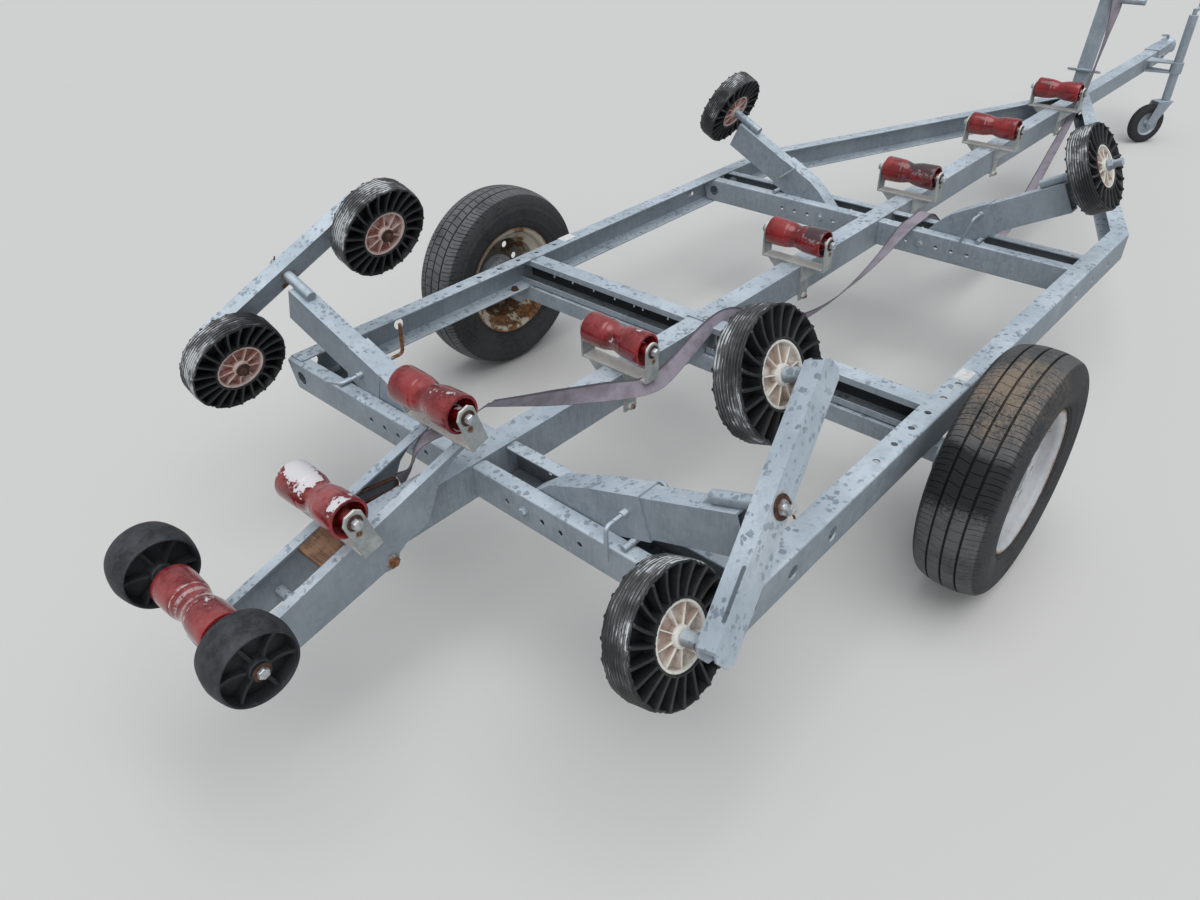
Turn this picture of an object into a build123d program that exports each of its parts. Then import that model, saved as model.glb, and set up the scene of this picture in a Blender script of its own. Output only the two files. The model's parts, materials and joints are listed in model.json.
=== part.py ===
from build123d import *
import math
import os

os.makedirs("parts", exist_ok=True)

# Main sizes, in millimetres. X runs forward to the hitch, Y to the left, Z up from the ground.
# Places along the trailer are given from the road axle.
end_axle_back = 1624.0
end_wheel_radius = 86.0
coupling_nose = 4940.0
axle_x = -(coupling_nose - end_axle_back - end_wheel_radius) / 2

# Chassis
frame_top = 462.0
rail_height = 100.0
rail_flange = 60.0
rail_wall = 5.0
rail_out = 774.0
rail_rear = -950.0
bend_x = 1440.0
bend_angle = 21.5
rail_bottom = frame_top - rail_height
rail_inside = rail_out - rail_wall
beam_width = 70.0
beam_height = rail_height
beam_wall = 4.0
beam_rear = -1272.0
beam_front = 3230.0
drawbar_height = 85.0
drawbar_wall = 5.0
nose_reach = 240.0
drawbar_front = coupling_nose - nose_reach
beam_side = beam_width / 2

# Crossmembers fit between the flanges of the rails
member_height = rail_height - 2 * rail_wall
member_bottom = rail_bottom + rail_wall
member_top = member_bottom + member_height
member_flange = 40.0
member_wall = 5.0
arm_gap = 65.0
axle_member_front = 15.0
axle_member_depth = 60.0
rear_member_x = -890.5
front_member_x = 1094.5
arm_bolt_y = 205.0
arm_bolt_drop = 50.0
arm_bolt_z = frame_top - arm_bolt_drop

# Axle and road wheels
wheel_radius = 325.0
tyre_width = 185.0
tyre_gap = 66.5
wheel_y = rail_out + tyre_gap + tyre_width / 2
rim_radius = 178.0
axle_tube = 50.0
axle_tube_x = -30.0
axle_tube_z = rail_bottom - axle_tube / 2
stub_radius = 20.0

# Keel rollers
roller_half = 102.0
roller_end_radius = 46.0
roller_waist_radius = 36.0
pin_radius = 10.0
running_gap = 0.05
roller_height = 88.0
ear_gap = 17.0
ear_half = roller_half + ear_gap
bar_thick = 6.0
bar_width = 50.0

# Tilting cradle at the rear
cradle_slope = math.degrees(math.atan(0.30))
cradle_pivot_x = -1240.0
cradle_pivot_z = 375.0
cradle_out = 72.0
cradle_flange = 26.0
cradle_wall = 5.0

# Hull wheels and their arms
hull_radius = 138.0
hull_width = 76.0
hull_hub_radius = 66.0
hull_pin = 12.0
arm_tube_radius = 15.0
spindle_radius = 10.0


def across(x, y=0, z=0):
    """Plane across the trailer: its x runs to the left, its y up, its normal forward."""
    return Plane(origin=(axle_x + x, y, z), x_dir=(0, 1, 0), z_dir=(1, 0, 0))


def along(y, x=0, z=0, turn=0):
    """Plane along the trailer, facing right: x forward (tipped up by turn degrees), y up."""
    c, s = math.cos(math.radians(turn)), math.sin(math.radians(turn))
    return Plane(origin=(axle_x + x, y, z), x_dir=(c, 0, s), z_dir=(0, -1, 0))


def level(z, x=0, y=0):
    """Level plane at height z."""
    return Plane(origin=(axle_x + x, y, z))


def rail_line(width):
    """Plan of a left rail strip that is this wide, from its outer face inward."""
    lean = math.radians(bend_angle)
    front = bend_x + (rail_out - beam_side) / math.tan(lean)
    corner = bend_x - width * math.tan(lean / 2)
    return [
        (rail_rear, rail_out),
        (bend_x, rail_out),
        (front, beam_side),
        (front - width / math.sin(lean), beam_side),
        (corner, rail_out - width),
        (rail_rear, rail_out - width),
    ]


# Side rails: rolled channels, open inward, bent in to the drawbar, with a filler in each bend
filler_back = 145.0
filler_front = 150.0
rail_hole_radius = 20.0
lean = math.radians(bend_angle)
inner_corner = bend_x - rail_flange * math.tan(lean / 2)
filler = [
    (inner_corner - filler_back, rail_out - rail_flange),
    (inner_corner, rail_out - rail_flange),
    (inner_corner + filler_front * math.cos(lean), rail_out - rail_flange - filler_front * math.sin(lean)),
]
with BuildPart() as side_rails:
    with BuildSketch(level(rail_bottom)):
        with BuildLine():
            Polyline(*rail_line(rail_wall), close=True)
        make_face()
    extrude(amount=rail_height)
    for z in (rail_bottom, frame_top - rail_wall):
        with BuildSketch(level(z)):
            with BuildLine():
                Polyline(*rail_line(rail_flange), close=True)
            make_face()
            with BuildLine():
                Polyline(*filler, close=True)
            make_face()
        extrude(amount=rail_wall)
    with BuildSketch(along(rail_out + 1, rear_member_x, rail_bottom + rail_height / 2)):
        Circle(rail_hole_radius)
    extrude(amount=2 + rail_wall, mode=Mode.SUBTRACT)
    mirror(about=Plane.XZ)
side_rails.part.label = "side_rails"
export_step(side_rails.part, "parts/side_rails.step")

# Keel beam: a box tube down the middle, bored at the rear for the cradle bolt
cradle_bolt_radius = 10.0
saddle_x = axle_member_front - axle_member_depth / 2
saddle_width = 48.0
saddle_wall = 5.0
saddle_drop = 60.0
with BuildPart() as keel_beam:
    with BuildSketch(across(beam_rear, 0, frame_top - beam_height / 2)):
        Rectangle(beam_width, beam_height)
        Rectangle(beam_width - 2 * beam_wall, beam_height - 2 * beam_wall, mode=Mode.SUBTRACT)
    extrude(amount=beam_front - beam_rear)
    with BuildSketch(along(beam_side + 1, cradle_pivot_x, cradle_pivot_z)):
        Circle(cradle_bolt_radius + running_gap)
    extrude(amount=beam_width + 2, mode=Mode.SUBTRACT)
    with BuildSketch(across(saddle_x - saddle_width / 2, 0, frame_top - saddle_drop / 2 + saddle_wall)):
        Rectangle(beam_width + 2 * saddle_wall, saddle_drop)
        with Locations((0, -saddle_wall)):
            Rectangle(beam_width - 2 * beam_wall, saddle_drop, mode=Mode.SUBTRACT)
    extrude(amount=saddle_width)
keel_beam.part.label = "keel_beam"
export_step(keel_beam.part, "parts/keel_beam.step")

# Drawbar: a box tube that goes on from the keel beam to the hitch
with BuildPart() as drawbar:
    with BuildSketch(across(beam_front, 0, frame_top - drawbar_height / 2)):
        Rectangle(beam_width, drawbar_height)
        Rectangle(beam_width - 2 * drawbar_wall, drawbar_height - 2 * drawbar_wall, mode=Mode.SUBTRACT)
    extrude(amount=drawbar_front - beam_front)
drawbar.part.label = "drawbar"
export_step(drawbar.part, "parts/drawbar.step")

# Rear and front crossmembers: each a pair of channels, back out, with the arms between them
member_hole_radius = 7.0
member_port_radius = 20.0
member_port_in = 62.0
member_port_y = rail_out - member_port_in
member_slant = 31.0
member_holes = [149.0, 264.0, 321.0, 379.0]
for name, member_x in (("rear_crossmember", rear_member_x), ("front_crossmember", front_member_x)):
    with BuildPart() as member:
        for facing in (-1, 1):
            inner = member_x + facing * arm_gap / 2
            outer = inner + facing * member_flange
            low, high = min(inner, outer), max(inner, outer)
            web = outer - facing * member_wall
            with BuildSketch(across(low)):
                with BuildLine():
                    Polyline(
                        (beam_side, member_bottom),
                        (rail_inside - member_slant, member_bottom),
                        (rail_inside, member_bottom + member_slant),
                        (rail_inside, member_top),
                        (beam_side, member_top),
                        close=True,
                    )
                make_face()
            extrude(amount=member_flange)
            with BuildSketch(across(min(inner, web))):
                with Locations(((beam_side + rail_out) / 2, (member_bottom + member_top) / 2)):
                    Rectangle(rail_out - beam_side + 20, member_height - 2 * member_wall)
            extrude(amount=member_flange - member_wall, mode=Mode.SUBTRACT)
            with BuildSketch(across(low - 1)):
                with Locations(*[(y, arm_bolt_z) for y in member_holes]):
                    Circle(member_hole_radius)
                with Locations((member_port_y, arm_bolt_z)):
                    Circle(member_port_radius)
                with Locations((arm_bolt_y, arm_bolt_z)):
                    Circle(spindle_radius)
            extrude(amount=member_flange + 2, mode=Mode.SUBTRACT)
        mirror(about=Plane.XZ)
    member.part.label = name
    export_step(member.part, f"parts/{name}.step")

# Crossmember over the axle: a lipped channel, open to the rear, in two halves
lip_height = 20.0
with BuildPart() as axle_crossmember:
    with BuildSketch(along(rail_inside, 0, 0)):
        back = axle_member_front - axle_member_depth
        with BuildLine():
            Polyline(
                (back, member_bottom + lip_height),
                (back, member_bottom),
                (axle_member_front, member_bottom),
                (axle_member_front, member_top),
                (back, member_top),
                (back, member_top - lip_height),
                (back + member_wall, member_top - lip_height),
                (back + member_wall, member_top - member_wall),
                (axle_member_front - member_wall, member_top - member_wall),
                (axle_member_front - member_wall, member_bottom + member_wall),
                (back + member_wall, member_bottom + member_wall),
                (back + member_wall, member_bottom + lip_height),
                close=True,
            )
        make_face()
    extrude(amount=rail_inside - beam_side - saddle_wall)
    mirror(about=Plane.XZ)
axle_crossmember.part.label = "axle_crossmember"
export_step(axle_crossmember.part, "parts/axle_crossmember.step")

# Axle beam: a square tube below the rails, with a round-ended knuckle and stub for each wheel
axle_over = 11.0
axle_half = rail_out + axle_over
knuckle_thick = 22.0
knuckle_radius = 46.0
stub_over = 52.0
stub_end = wheel_y + stub_over
with BuildPart() as axle_beam:
    with BuildSketch(along(axle_half, axle_tube_x, axle_tube_z)):
        Rectangle(axle_tube, axle_tube)
        Rectangle(axle_tube - 2 * member_wall, axle_tube - 2 * member_wall, mode=Mode.SUBTRACT)
    extrude(amount=2 * axle_half)
    with BuildSketch(along(axle_half + knuckle_thick, axle_tube_x / 2, wheel_radius)):
        SlotCenterToCenter(abs(axle_tube_x), 2 * knuckle_radius)
    extrude(amount=knuckle_thick)
    with BuildSketch(along(stub_end, 0, wheel_radius)):
        Circle(stub_radius)
    extrude(amount=stub_end - axle_half - knuckle_thick)
    mirror(about=Plane.XZ)
axle_beam.part.label = "axle_beam"
export_step(axle_beam.part, "parts/axle_beam.step")

# Road wheels: tyre, rim with its dished disc, and the hub, on each side
disc_out = 30.0
rim_half = 72.0
rim_lip = 17.0
rim_wall = 5.0
hub_back = 118.0
hub_inner = wheel_y - hub_back
hub_flange_radius = 75.0
hub_body_radius = 52.0
stud_circle = 56.0
stud_radius = 6.0
centre_bore = 33.5
for side, sign in (("left", 1), ("right", -1)):
    axis = Axis((axle_x, 0, wheel_radius), (0, 1, 0))
    with BuildPart() as tyre:
        with BuildSketch(Plane(origin=(axle_x, sign * wheel_y, wheel_radius), x_dir=(0, sign, 0), z_dir=(sign, 0, 0))):
            half = tyre_width / 2
            crown = wheel_radius
            with BuildLine():
                l1 = Polyline((-rim_half + 1, rim_radius), (-rim_half + 1, rim_radius + 18), (-half, rim_radius + 70))
                a1 = ThreePointArc((-half, rim_radius + 70), (-half + 6, crown - 40), (-half + 26, crown - 8))
                l2 = Polyline((-half + 26, crown - 8), (-half + 40, crown), (half - 40, crown), (half - 26, crown - 8))
                a2 = ThreePointArc((half - 26, crown - 8), (half - 6, crown - 40), (half, rim_radius + 70))
                l3 = Polyline((half, rim_radius + 70), (rim_half - 1, rim_radius + 18), (rim_half - 1, rim_radius))
                l4 = Polyline(
                    (rim_half - 1, rim_radius),
                    (rim_half - 17, rim_radius),
                    (half - 14, rim_radius + 68),
                    (half - 36, crown - 22),
                    (-half + 36, crown - 22),
                    (-half + 14, rim_radius + 68),
                    (-rim_half + 17, rim_radius),
                    (-rim_half + 1, rim_radius),
                )
            make_face()
        revolve(axis=axis)
    tyre.part.label = f"{side}_tyre"
    export_step(tyre.part, f"parts/{side}_tyre.step")

    with BuildPart() as rim:
        with BuildSketch(Plane(origin=(axle_x, sign * wheel_y, wheel_radius), x_dir=(0, sign, 0), z_dir=(sign, 0, 0))):
            seat = rim_radius
            with BuildLine():
                Polyline(
                    (-rim_half, seat + rim_lip),
                    (-rim_half, seat - rim_wall),
                    (-24, seat - rim_wall),
                    (-16, seat - 24),
                    (22, seat - 24),
                    (34, seat - rim_wall),
                    (rim_half, seat - rim_wall),
                    (rim_half, seat + rim_lip),
                    (rim_half - 1, seat + rim_lip),
                    (rim_half - 1, seat),
                    (30, seat),
                    (18, seat - 19),
                    (-12, seat - 19),
                    (-20, seat),
                    (-rim_half + 1, seat),
                    (-rim_half + 1, seat + rim_lip),
                    close=True,
                )
            make_face()
            with BuildLine():
                Polyline(
                    (disc_out, centre_bore),
                    (disc_out + rim_wall, centre_bore),
                    (disc_out + rim_wall, 78),
                    (disc_out + 16, 96),
                    (disc_out + 10, 128),
                    (16, seat - 24),
                    (8, seat - 24),
                    (disc_out + 4, 126),
                    (disc_out + 10, 94),
                    (disc_out, 76),
                    close=True,
                )
            make_face()
        revolve(axis=axis)
        with BuildSketch(Plane(origin=(axle_x, sign * (wheel_y - 20), wheel_radius), x_dir=(1, 0, 0), z_dir=(0, sign, 0))):
            with PolarLocations(112, 10):
                Circle(12)
        extrude(amount=90, mode=Mode.SUBTRACT)
        hub_start = hub_inner - wheel_y
        with BuildSketch(Plane(origin=(axle_x, sign * wheel_y, wheel_radius), x_dir=(0, sign, 0), z_dir=(sign, 0, 0))):
            with BuildLine():
                Polyline(
                    (hub_start, stub_radius + running_gap),
                    (hub_start, hub_body_radius),
                    (disc_out - 40, hub_body_radius),
                    (disc_out - 12, hub_flange_radius),
                    (disc_out + 1, hub_flange_radius),
                    (disc_out + 1, centre_bore),
                    (disc_out + 38, centre_bore - 2),
                    (disc_out + 42, centre_bore - 8),
                    (disc_out + 42, 0),
                    (disc_out + 36, 0),
                    (disc_out + 36, stub_radius + running_gap),
                    close=True,
                )
            make_face()
        revolve(axis=axis)
        with BuildSketch(Plane(origin=(axle_x, sign * (wheel_y + disc_out), wheel_radius), x_dir=(1, 0, 0), z_dir=(0, sign, 0))):
            with PolarLocations(stud_circle, 5):
                RegularPolygon(stud_radius * 1.7, 6)
        extrude(amount=20)
    rim.part.label = f"{side}_rim"
    export_step(rim.part, f"parts/{side}_rim.step")

# Arms for the hull wheels: a tapered outer tube on the crossmember bolt, with a stop bar that rests on
# the crossmember, and an inner tube clamped in it by two bent-rod handles
# name, place along the trailer, side, slope, end of the outer tube, of the inner tube, of the round tube
arms = [
    ("rear_right", rear_member_x, -1, 19.4, 345.0, 585.0, 636.0),
    ("rear_left", rear_member_x, 1, 18.4, 322.0, 597.0, 648.0),
    ("front_right", front_member_x, -1, 28.8, 255.0, 500.0, 541.0),
    ("front_left", front_member_x, 1, 25.8, 258.0, 505.0, 546.0),
]
arm_bottom = -38.0
arm_top = 60.0
arm_width = 54.0
sleeve_width = 64.0
sleeve_length = 135.0
sleeve_grow = 5.0
end_axis = arm_top + arm_tube_radius - 2
stop_radius = 8.0
stop_half = 66.0
handle_radius = 5.0
handle_boss = 9.0
handle_out = 62.0
handle_leg = 92.0
# row of the arm table, face (-1 rear, 1 front), place along the arm, height on it, way of the leg (out, up)
handles = [
    (0, -1, 298.0, 22.0, 0.0, -1.0),
    (0, 1, 285.0, 30.0, 0.9, -0.45),
    (1, -1, 262.0, 12.0, 0.95, -0.3),
    (1, 1, 250.0, 34.0, -0.1, 1.0),
    (2, -1, 222.0, 38.0, -0.3, -0.95),
    (2, 1, 216.0, 10.0, 0.2, -1.0),
    (3, -1, 222.0, 26.0, -0.8, 0.6),
    (3, 1, 232.0, 34.0, 0.9, -0.4),
]


def arm_plane(x, sign, slope, out=0.0, up=0.0):
    """Plane of an arm: x runs out along the arm from its bolt, y square to it, upward."""
    c, s = math.cos(math.radians(slope)), math.sin(math.radians(slope))
    y = sign * (arm_bolt_y + out * c - up * s)
    z = arm_bolt_z + out * s + up * c
    return Plane(origin=(axle_x + x, y, z), x_dir=(0, sign * c, s), z_dir=(sign, 0, 0))


with BuildPart() as support_arms:
    for name, x, sign, slope, sleeve_end, tube_end, round_end in arms:
        plane = arm_plane(x, sign, slope)
        sleeve_start = sleeve_end - sleeve_length
        with BuildSketch(plane):
            with BuildLine():
                Polyline(
                    (-32, -14),
                    (-32, 16),
                    (min(70, sleeve_start - 40), arm_top - 6),
                    (sleeve_start + 5, arm_top + sleeve_grow),
                    (sleeve_start + 5, arm_bottom - sleeve_grow),
                    (min(150, sleeve_start - 20), arm_bottom - 2),
                    (0, -24),
                    close=True,
                )
            make_face()
        extrude(amount=arm_width / 2 + 3, both=True)
        middle = ((sleeve_start + sleeve_end) / 2, (arm_top + arm_bottom) / 2)
        with BuildSketch(plane):
            with Locations(middle):
                Rectangle(sleeve_length, arm_top - arm_bottom + 2 * sleeve_grow)
        extrude(amount=sleeve_width / 2, both=True)
        with BuildSketch(plane):
            with Locations(middle):
                Rectangle(sleeve_length + 10, arm_top - arm_bottom)
        extrude(amount=arm_width / 2, both=True, mode=Mode.SUBTRACT)
        with BuildSketch(plane):
            Circle(spindle_radius)
        extrude(amount=arm_gap / 2 + 8, both=True)
        c, s = math.cos(math.radians(slope)), math.sin(math.radians(slope))
        stop_up = arm_bottom - sleeve_grow - stop_radius + 3
        stop_out = (member_top + stop_radius - arm_bolt_z - stop_up * c) / s
        with BuildSketch(arm_plane(x, sign, slope, stop_out, stop_up)):
            Circle(stop_radius - 0.1)
        extrude(amount=stop_half, both=True)
    for row, face, out, up, leg_out, leg_up in handles:
        name, x, sign, slope = arms[row][:4]
        spot = Vector(*arm_plane(x, sign, slope, out, up).origin)
        root = spot + Vector(face * sleeve_width / 2, 0, 0)
        elbow = root + Vector(face * handle_out, 0, 0)
        tip = elbow + Vector(0, sign * leg_out, leg_up).normalized() * handle_leg
        with BuildSketch(Plane(origin=root, z_dir=(face, 0, 0))):
            Circle(handle_boss)
        extrude(amount=16)
        with BuildLine():
            FilletPolyline(root, elbow, tip, radius=14)
        with BuildSketch(Plane(origin=root, z_dir=(face, 0, 0))):
            Circle(handle_radius)
        sweep()
support_arms.part.label = "support_arms"
export_step(support_arms.part, "parts/support_arms.step")

arm_wall = 5.0
wheel_gap = 7.0
washer_radius = 19.0
nut_radius = 16.0
nut_height = 12.0
with BuildPart() as arm_tubes:
    for name, x, sign, slope, sleeve_end, tube_end, round_end in arms:
        plane = arm_plane(x, sign, slope)
        tube_start = sleeve_end - sleeve_length + 12
        with BuildSketch(plane):
            with Locations(((tube_start + tube_end) / 2, (arm_top + arm_bottom) / 2)):
                Rectangle(tube_end - tube_start, arm_top - arm_bottom)
        extrude(amount=arm_width / 2, both=True)
        with BuildSketch(plane):
            with Locations(((tube_start + tube_end) / 2, (arm_top + arm_bottom) / 2)):
                Rectangle(tube_end - tube_start + 10, arm_top - arm_bottom - 2 * arm_wall)
        extrude(amount=arm_width / 2 - arm_wall, both=True, mode=Mode.SUBTRACT)
        end_plane = arm_plane(x, sign, slope, round_end, end_axis)
        pin_face = Plane(origin=end_plane.origin, x_dir=(1, 0, 0), z_dir=end_plane.x_dir)
        with BuildSketch(pin_face):
            Circle(arm_tube_radius)
        extrude(amount=-120)
        if x == front_member_x:
            hub_face = wheel_gap + hull_width
            with BuildSketch(pin_face):
                Circle(hull_pin)
            extrude(amount=hub_face + 42)
            with BuildSketch(pin_face.offset(hub_face + 2)):
                Circle(washer_radius)
            extrude(amount=3)
            with BuildSketch(pin_face.offset(hub_face + 5)):
                RegularPolygon(nut_radius, 6)
            extrude(amount=nut_height)
        else:
            with BuildSketch(pin_face):
                Circle(spindle_radius + running_gap)
            extrude(amount=-100, mode=Mode.SUBTRACT)
arm_tubes.part.label = "arm_tubes"
export_step(arm_tubes.part, "parts/arm_tubes.step")

# Rear rockers: a channel bar, open inward, on the round end tube, with a wheel pin inward from each end
rocker_half = 267.0
rocker_in = 118.0
bar_length = 590.0
bar_deep = 60.0
bar_flange = 44.0
bar_wall = 5.0
bar_chamfer = 14.0
bar_outer = 16.0
pivot_washer = 24.0
# name, row of the arm table, place of the bar out along the arm, tilt as it stands
rockers = [
    ("right_rocker", 0, 653.0, 35.6),
    ("left_rocker", 1, 665.0, 29.6),
]
rocker_frames = {}
for name, row, bar_out, tilt in rockers:
    x, sign, slope = arms[row][1:4]
    pivot = arm_plane(x, sign, slope, bar_out, end_axis)
    out_dir = pivot.x_dir
    c, s = math.cos(math.radians(tilt)), math.sin(math.radians(tilt))
    bar_dir = Vector(1, 0, 0) * c + pivot.y_dir * s
    rocker_frames[name] = (pivot.origin, out_dir, bar_dir)
    face = Plane(origin=pivot.origin, x_dir=bar_dir, z_dir=out_dir)
    with BuildPart() as rocker:
        with BuildSketch(face.offset(bar_outer)):
            Rectangle(bar_length, bar_deep)
            chamfer(vertices(), bar_chamfer)
        extrude(amount=-bar_flange)
        with BuildSketch(face.offset(bar_outer - bar_wall)):
            Rectangle(bar_length + 2, bar_deep - 2 * bar_wall)
        extrude(amount=-bar_flange, mode=Mode.SUBTRACT)
        with BuildSketch(face.offset(bar_outer)):
            Circle(spindle_radius)
        extrude(amount=-100)
        with BuildSketch(face.offset(bar_outer)):
            Circle(pivot_washer)
        extrude(amount=3)
        with BuildSketch(face.offset(bar_outer + 3)):
            RegularPolygon(nut_radius, 6)
        extrude(amount=nut_height)
        with BuildSketch(face.offset(bar_outer + 3)):
            Circle(spindle_radius)
        extrude(amount=nut_height + 12)
        with BuildSketch(face.offset(bar_outer)):
            with Locations((rocker_half, 0), (-rocker_half, 0)):
                Circle(hull_pin)
        extrude(amount=-(bar_outer + rocker_in + hull_width / 2 + 26))
        with BuildSketch(face.offset(bar_outer - 1)):
            with Locations((rocker_half, 0), (-rocker_half, 0)):
                Circle(hull_pin + 4)
        extrude(amount=-(bar_outer - 1 + rocker_in - hull_width / 2 - 2))
        with BuildSketch(face.offset(-rocker_in - hull_width / 2 - 2)):
            with Locations((rocker_half, 0), (-rocker_half, 0)):
                Circle(washer_radius)
        extrude(amount=-3)
        with BuildSketch(face.offset(-rocker_in - hull_width / 2 - 5)):
            with Locations((rocker_half, 0), (-rocker_half, 0)):
                RegularPolygon(nut_radius, 6)
        extrude(amount=-nut_height)
    rocker.part.label = name
    export_step(rocker.part, f"parts/{name}.step")

# Hull wheels: a rubber band on a thin web with a ring of fins on each side, round a spoked plastic hub
fin_count = 22
fin_thick = 5.0
fin_turn = 14.0
spoke_count = 9
spoke_thick = 4.0
band_inner = 124.0
band_chamfer = 7.0
web_half = 5.0
ring_outer = 71.0
ring_half = 32.0
hub_ring_inner = 60.0
boss_radius = 22.0
half = hull_width / 2
with BuildPart() as wheel_form:
    with BuildSketch(Plane.XZ):
        with BuildLine():
            Polyline(
                (hull_pin + running_gap, -half),
                (boss_radius, -half),
                (boss_radius, -web_half),
                (hub_ring_inner, -web_half),
                (hub_ring_inner, -ring_half),
                (ring_outer, -ring_half),
                (ring_outer, -web_half),
                (band_inner, -web_half),
                (band_inner, -half),
                (hull_radius - band_chamfer, -half),
                (hull_radius, band_chamfer - half),
                (hull_radius, half - band_chamfer),
                (hull_radius - band_chamfer, half),
                (band_inner, half),
                (band_inner, web_half),
                (ring_outer, web_half),
                (ring_outer, ring_half),
                (hub_ring_inner, ring_half),
                (hub_ring_inner, web_half),
                (boss_radius, web_half),
                (boss_radius, half),
                (hull_pin + running_gap, half),
                close=True,
            )
        make_face()
    revolve(axis=Axis.Z)
    fin_long = band_inner - ring_outer + 6
    with BuildSketch(Plane.XY.offset(-half + 2)):
        with PolarLocations((band_inner + ring_outer) / 2, fin_count):
            Rectangle(fin_long, fin_thick, rotation=fin_turn)
    extrude(amount=hull_width - 4)
    with BuildSketch(Plane.XY.offset(-ring_half + 4)):
        with PolarLocations((hub_ring_inner + boss_radius) / 2, spoke_count):
            Rectangle(hub_ring_inner - boss_radius + 4, spoke_thick)
    extrude(amount=2 * ring_half - 8)

# name, centre, direction of the axle outward
hull_wheels = []
for side in ("right", "left"):
    origin, out_dir, bar_dir = rocker_frames[f"{side}_rocker"]
    for place, way in (("aft", -1), ("fore", 1)):
        centre = origin - out_dir * rocker_in + bar_dir * (way * rocker_half)
        hull_wheels.append((f"{side}_{place}_hull_wheel", centre, out_dir))
for row, side in ((2, "right"), (3, "left")):
    x, sign, slope = arms[row][1:4]
    spot = arm_plane(x, sign, slope, arms[row][6] + wheel_gap + hull_width / 2, end_axis)
    hull_wheels.append((f"{side}_front_hull_wheel", spot.origin, spot.x_dir))

for name, centre, out_dir in hull_wheels:
    with BuildPart(Plane(origin=centre, x_dir=(1, 0, 0), z_dir=out_dir)) as hull_wheel:
        add(wheel_form.part)
    hull_wheel.part.label = name
    export_step(hull_wheel.part, f"parts/{name}.step")

# Keel rollers: those on the cradle follow its slope, those on the beam stand level
def cradle_line(x):
    """Height of the cradle's top flange at x."""
    return 488.5 + math.tan(math.radians(cradle_slope)) * (x + 1250)


# name, distance behind the axle, height of the axis over the cradle's flange, packing under the bracket
cradle_spots = [
    ("keel_roller_3", 1020.0, 98.0, 9.0),
    ("keel_roller_2", 1328.0, 98.0, 0.0),
    ("end_roller", end_axle_back, 98.0, 0.0),
]
# name, distance ahead of the axle
beam_spots = [
    ("keel_roller_4", -397.0),
    ("keel_roller_5", 508.0),
    ("keel_roller_6", 1322.0),
    ("keel_roller_7", 2116.0),
    ("keel_roller_8", 2905.0),
]
# name, place along the trailer, height of the axis, slope of the bracket, its height, packing under it
rollers = []
for name, back, lift, packing in cradle_spots:
    c, s = math.cos(math.radians(cradle_slope)), math.sin(math.radians(cradle_slope))
    z = cradle_line(lift * s - back) + lift * c
    rollers.append((name, -back, z, cradle_slope, lift - packing, packing))
for name, x in beam_spots:
    rollers.append((name, x, frame_top + roller_height, 0.0, roller_height, 0.0))

for name, x, z, slope, height, packing in rollers:
    with BuildPart() as roller:
        with BuildSketch(Plane(origin=(axle_x + x, 0, z), x_dir=(0, 1, 0), z_dir=(1, 0, 0))):
            bore = pin_radius + running_gap
            with BuildLine():
                Polyline(
                    (-roller_half, bore),
                    (-roller_half, 17),
                    (-roller_half + 34, 17),
                    (-roller_half + 34, roller_end_radius - 12),
                    (-roller_half, roller_end_radius - 8),
                    (-roller_half, roller_end_radius - 4),
                    (-roller_half + 4, roller_end_radius),
                    (-32, roller_end_radius - 3),
                    (-27, roller_waist_radius + 3),
                    (0, roller_waist_radius),
                    (27, roller_waist_radius + 3),
                    (32, roller_end_radius - 3),
                    (roller_half - 4, roller_end_radius),
                    (roller_half, roller_end_radius - 4),
                    (roller_half, roller_end_radius - 8),
                    (roller_half - 34, roller_end_radius - 12),
                    (roller_half - 34, 17),
                    (roller_half, 17),
                    (roller_half, bore),
                    close=True,
                )
            make_face()
        revolve(axis=Axis((axle_x + x, 0, z), (0, 1, 0)))
    roller.part.label = name
    export_step(roller.part, f"parts/{name}.step")

# Roller brackets: U-bent flat bar with a bolt across the ears; those on the beam have a plate down each
# side of it, a bolt under it and a gusset below each overhang
ear_top = 25.0
bolt_over = 14.0
end_bolt_over = 124.0
cheek_drop = 23.0
under_bolt_radius = 6.0
gusset_wall = 5.0
with BuildPart() as cradle_brackets:
    for name, x, z, slope, height, packing in rollers[:3]:
        c, s = math.cos(math.radians(slope)), math.sin(math.radians(slope))
        base = Plane(origin=(axle_x + x, 0, z), x_dir=(0, 1, 0), z_dir=(c, 0, s))
        with BuildSketch(base):
            with Locations((0, -height + bar_thick / 2)):
                Rectangle(2 * ear_half, bar_thick)
            if packing:
                middle = cradle_out - cradle_flange / 2
                with Locations((middle, -height - packing / 2), (-middle, -height - packing / 2)):
                    Rectangle(cradle_flange, packing)
        extrude(amount=bar_width / 2, both=True)
        for y in (ear_half, -ear_half + bar_thick):
            with BuildSketch(along(y, x, z, slope)):
                with BuildLine():
                    Polyline(
                        (-bar_width / 2, -height),
                        (bar_width / 2, -height),
                        (bar_width / 2, 12),
                        (14, ear_top),
                        (-11, ear_top),
                        (-bar_width / 2, 8),
                        close=True,
                    )
                make_face()
            extrude(amount=bar_thick)
        reach = ear_half + (end_bolt_over if name == "end_roller" else bolt_over)
        with BuildSketch(along(reach, x, z)):
            Circle(pin_radius)
        extrude(amount=2 * reach)
        for start in (reach, bar_thick + 3 - reach):
            with BuildSketch(along(start, x, z)):
                RegularPolygon(nut_radius, 6)
            extrude(amount=bar_thick + 3)
cradle_brackets.part.label = "cradle_brackets"
export_step(cradle_brackets.part, "parts/cradle_brackets.step")

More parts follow.
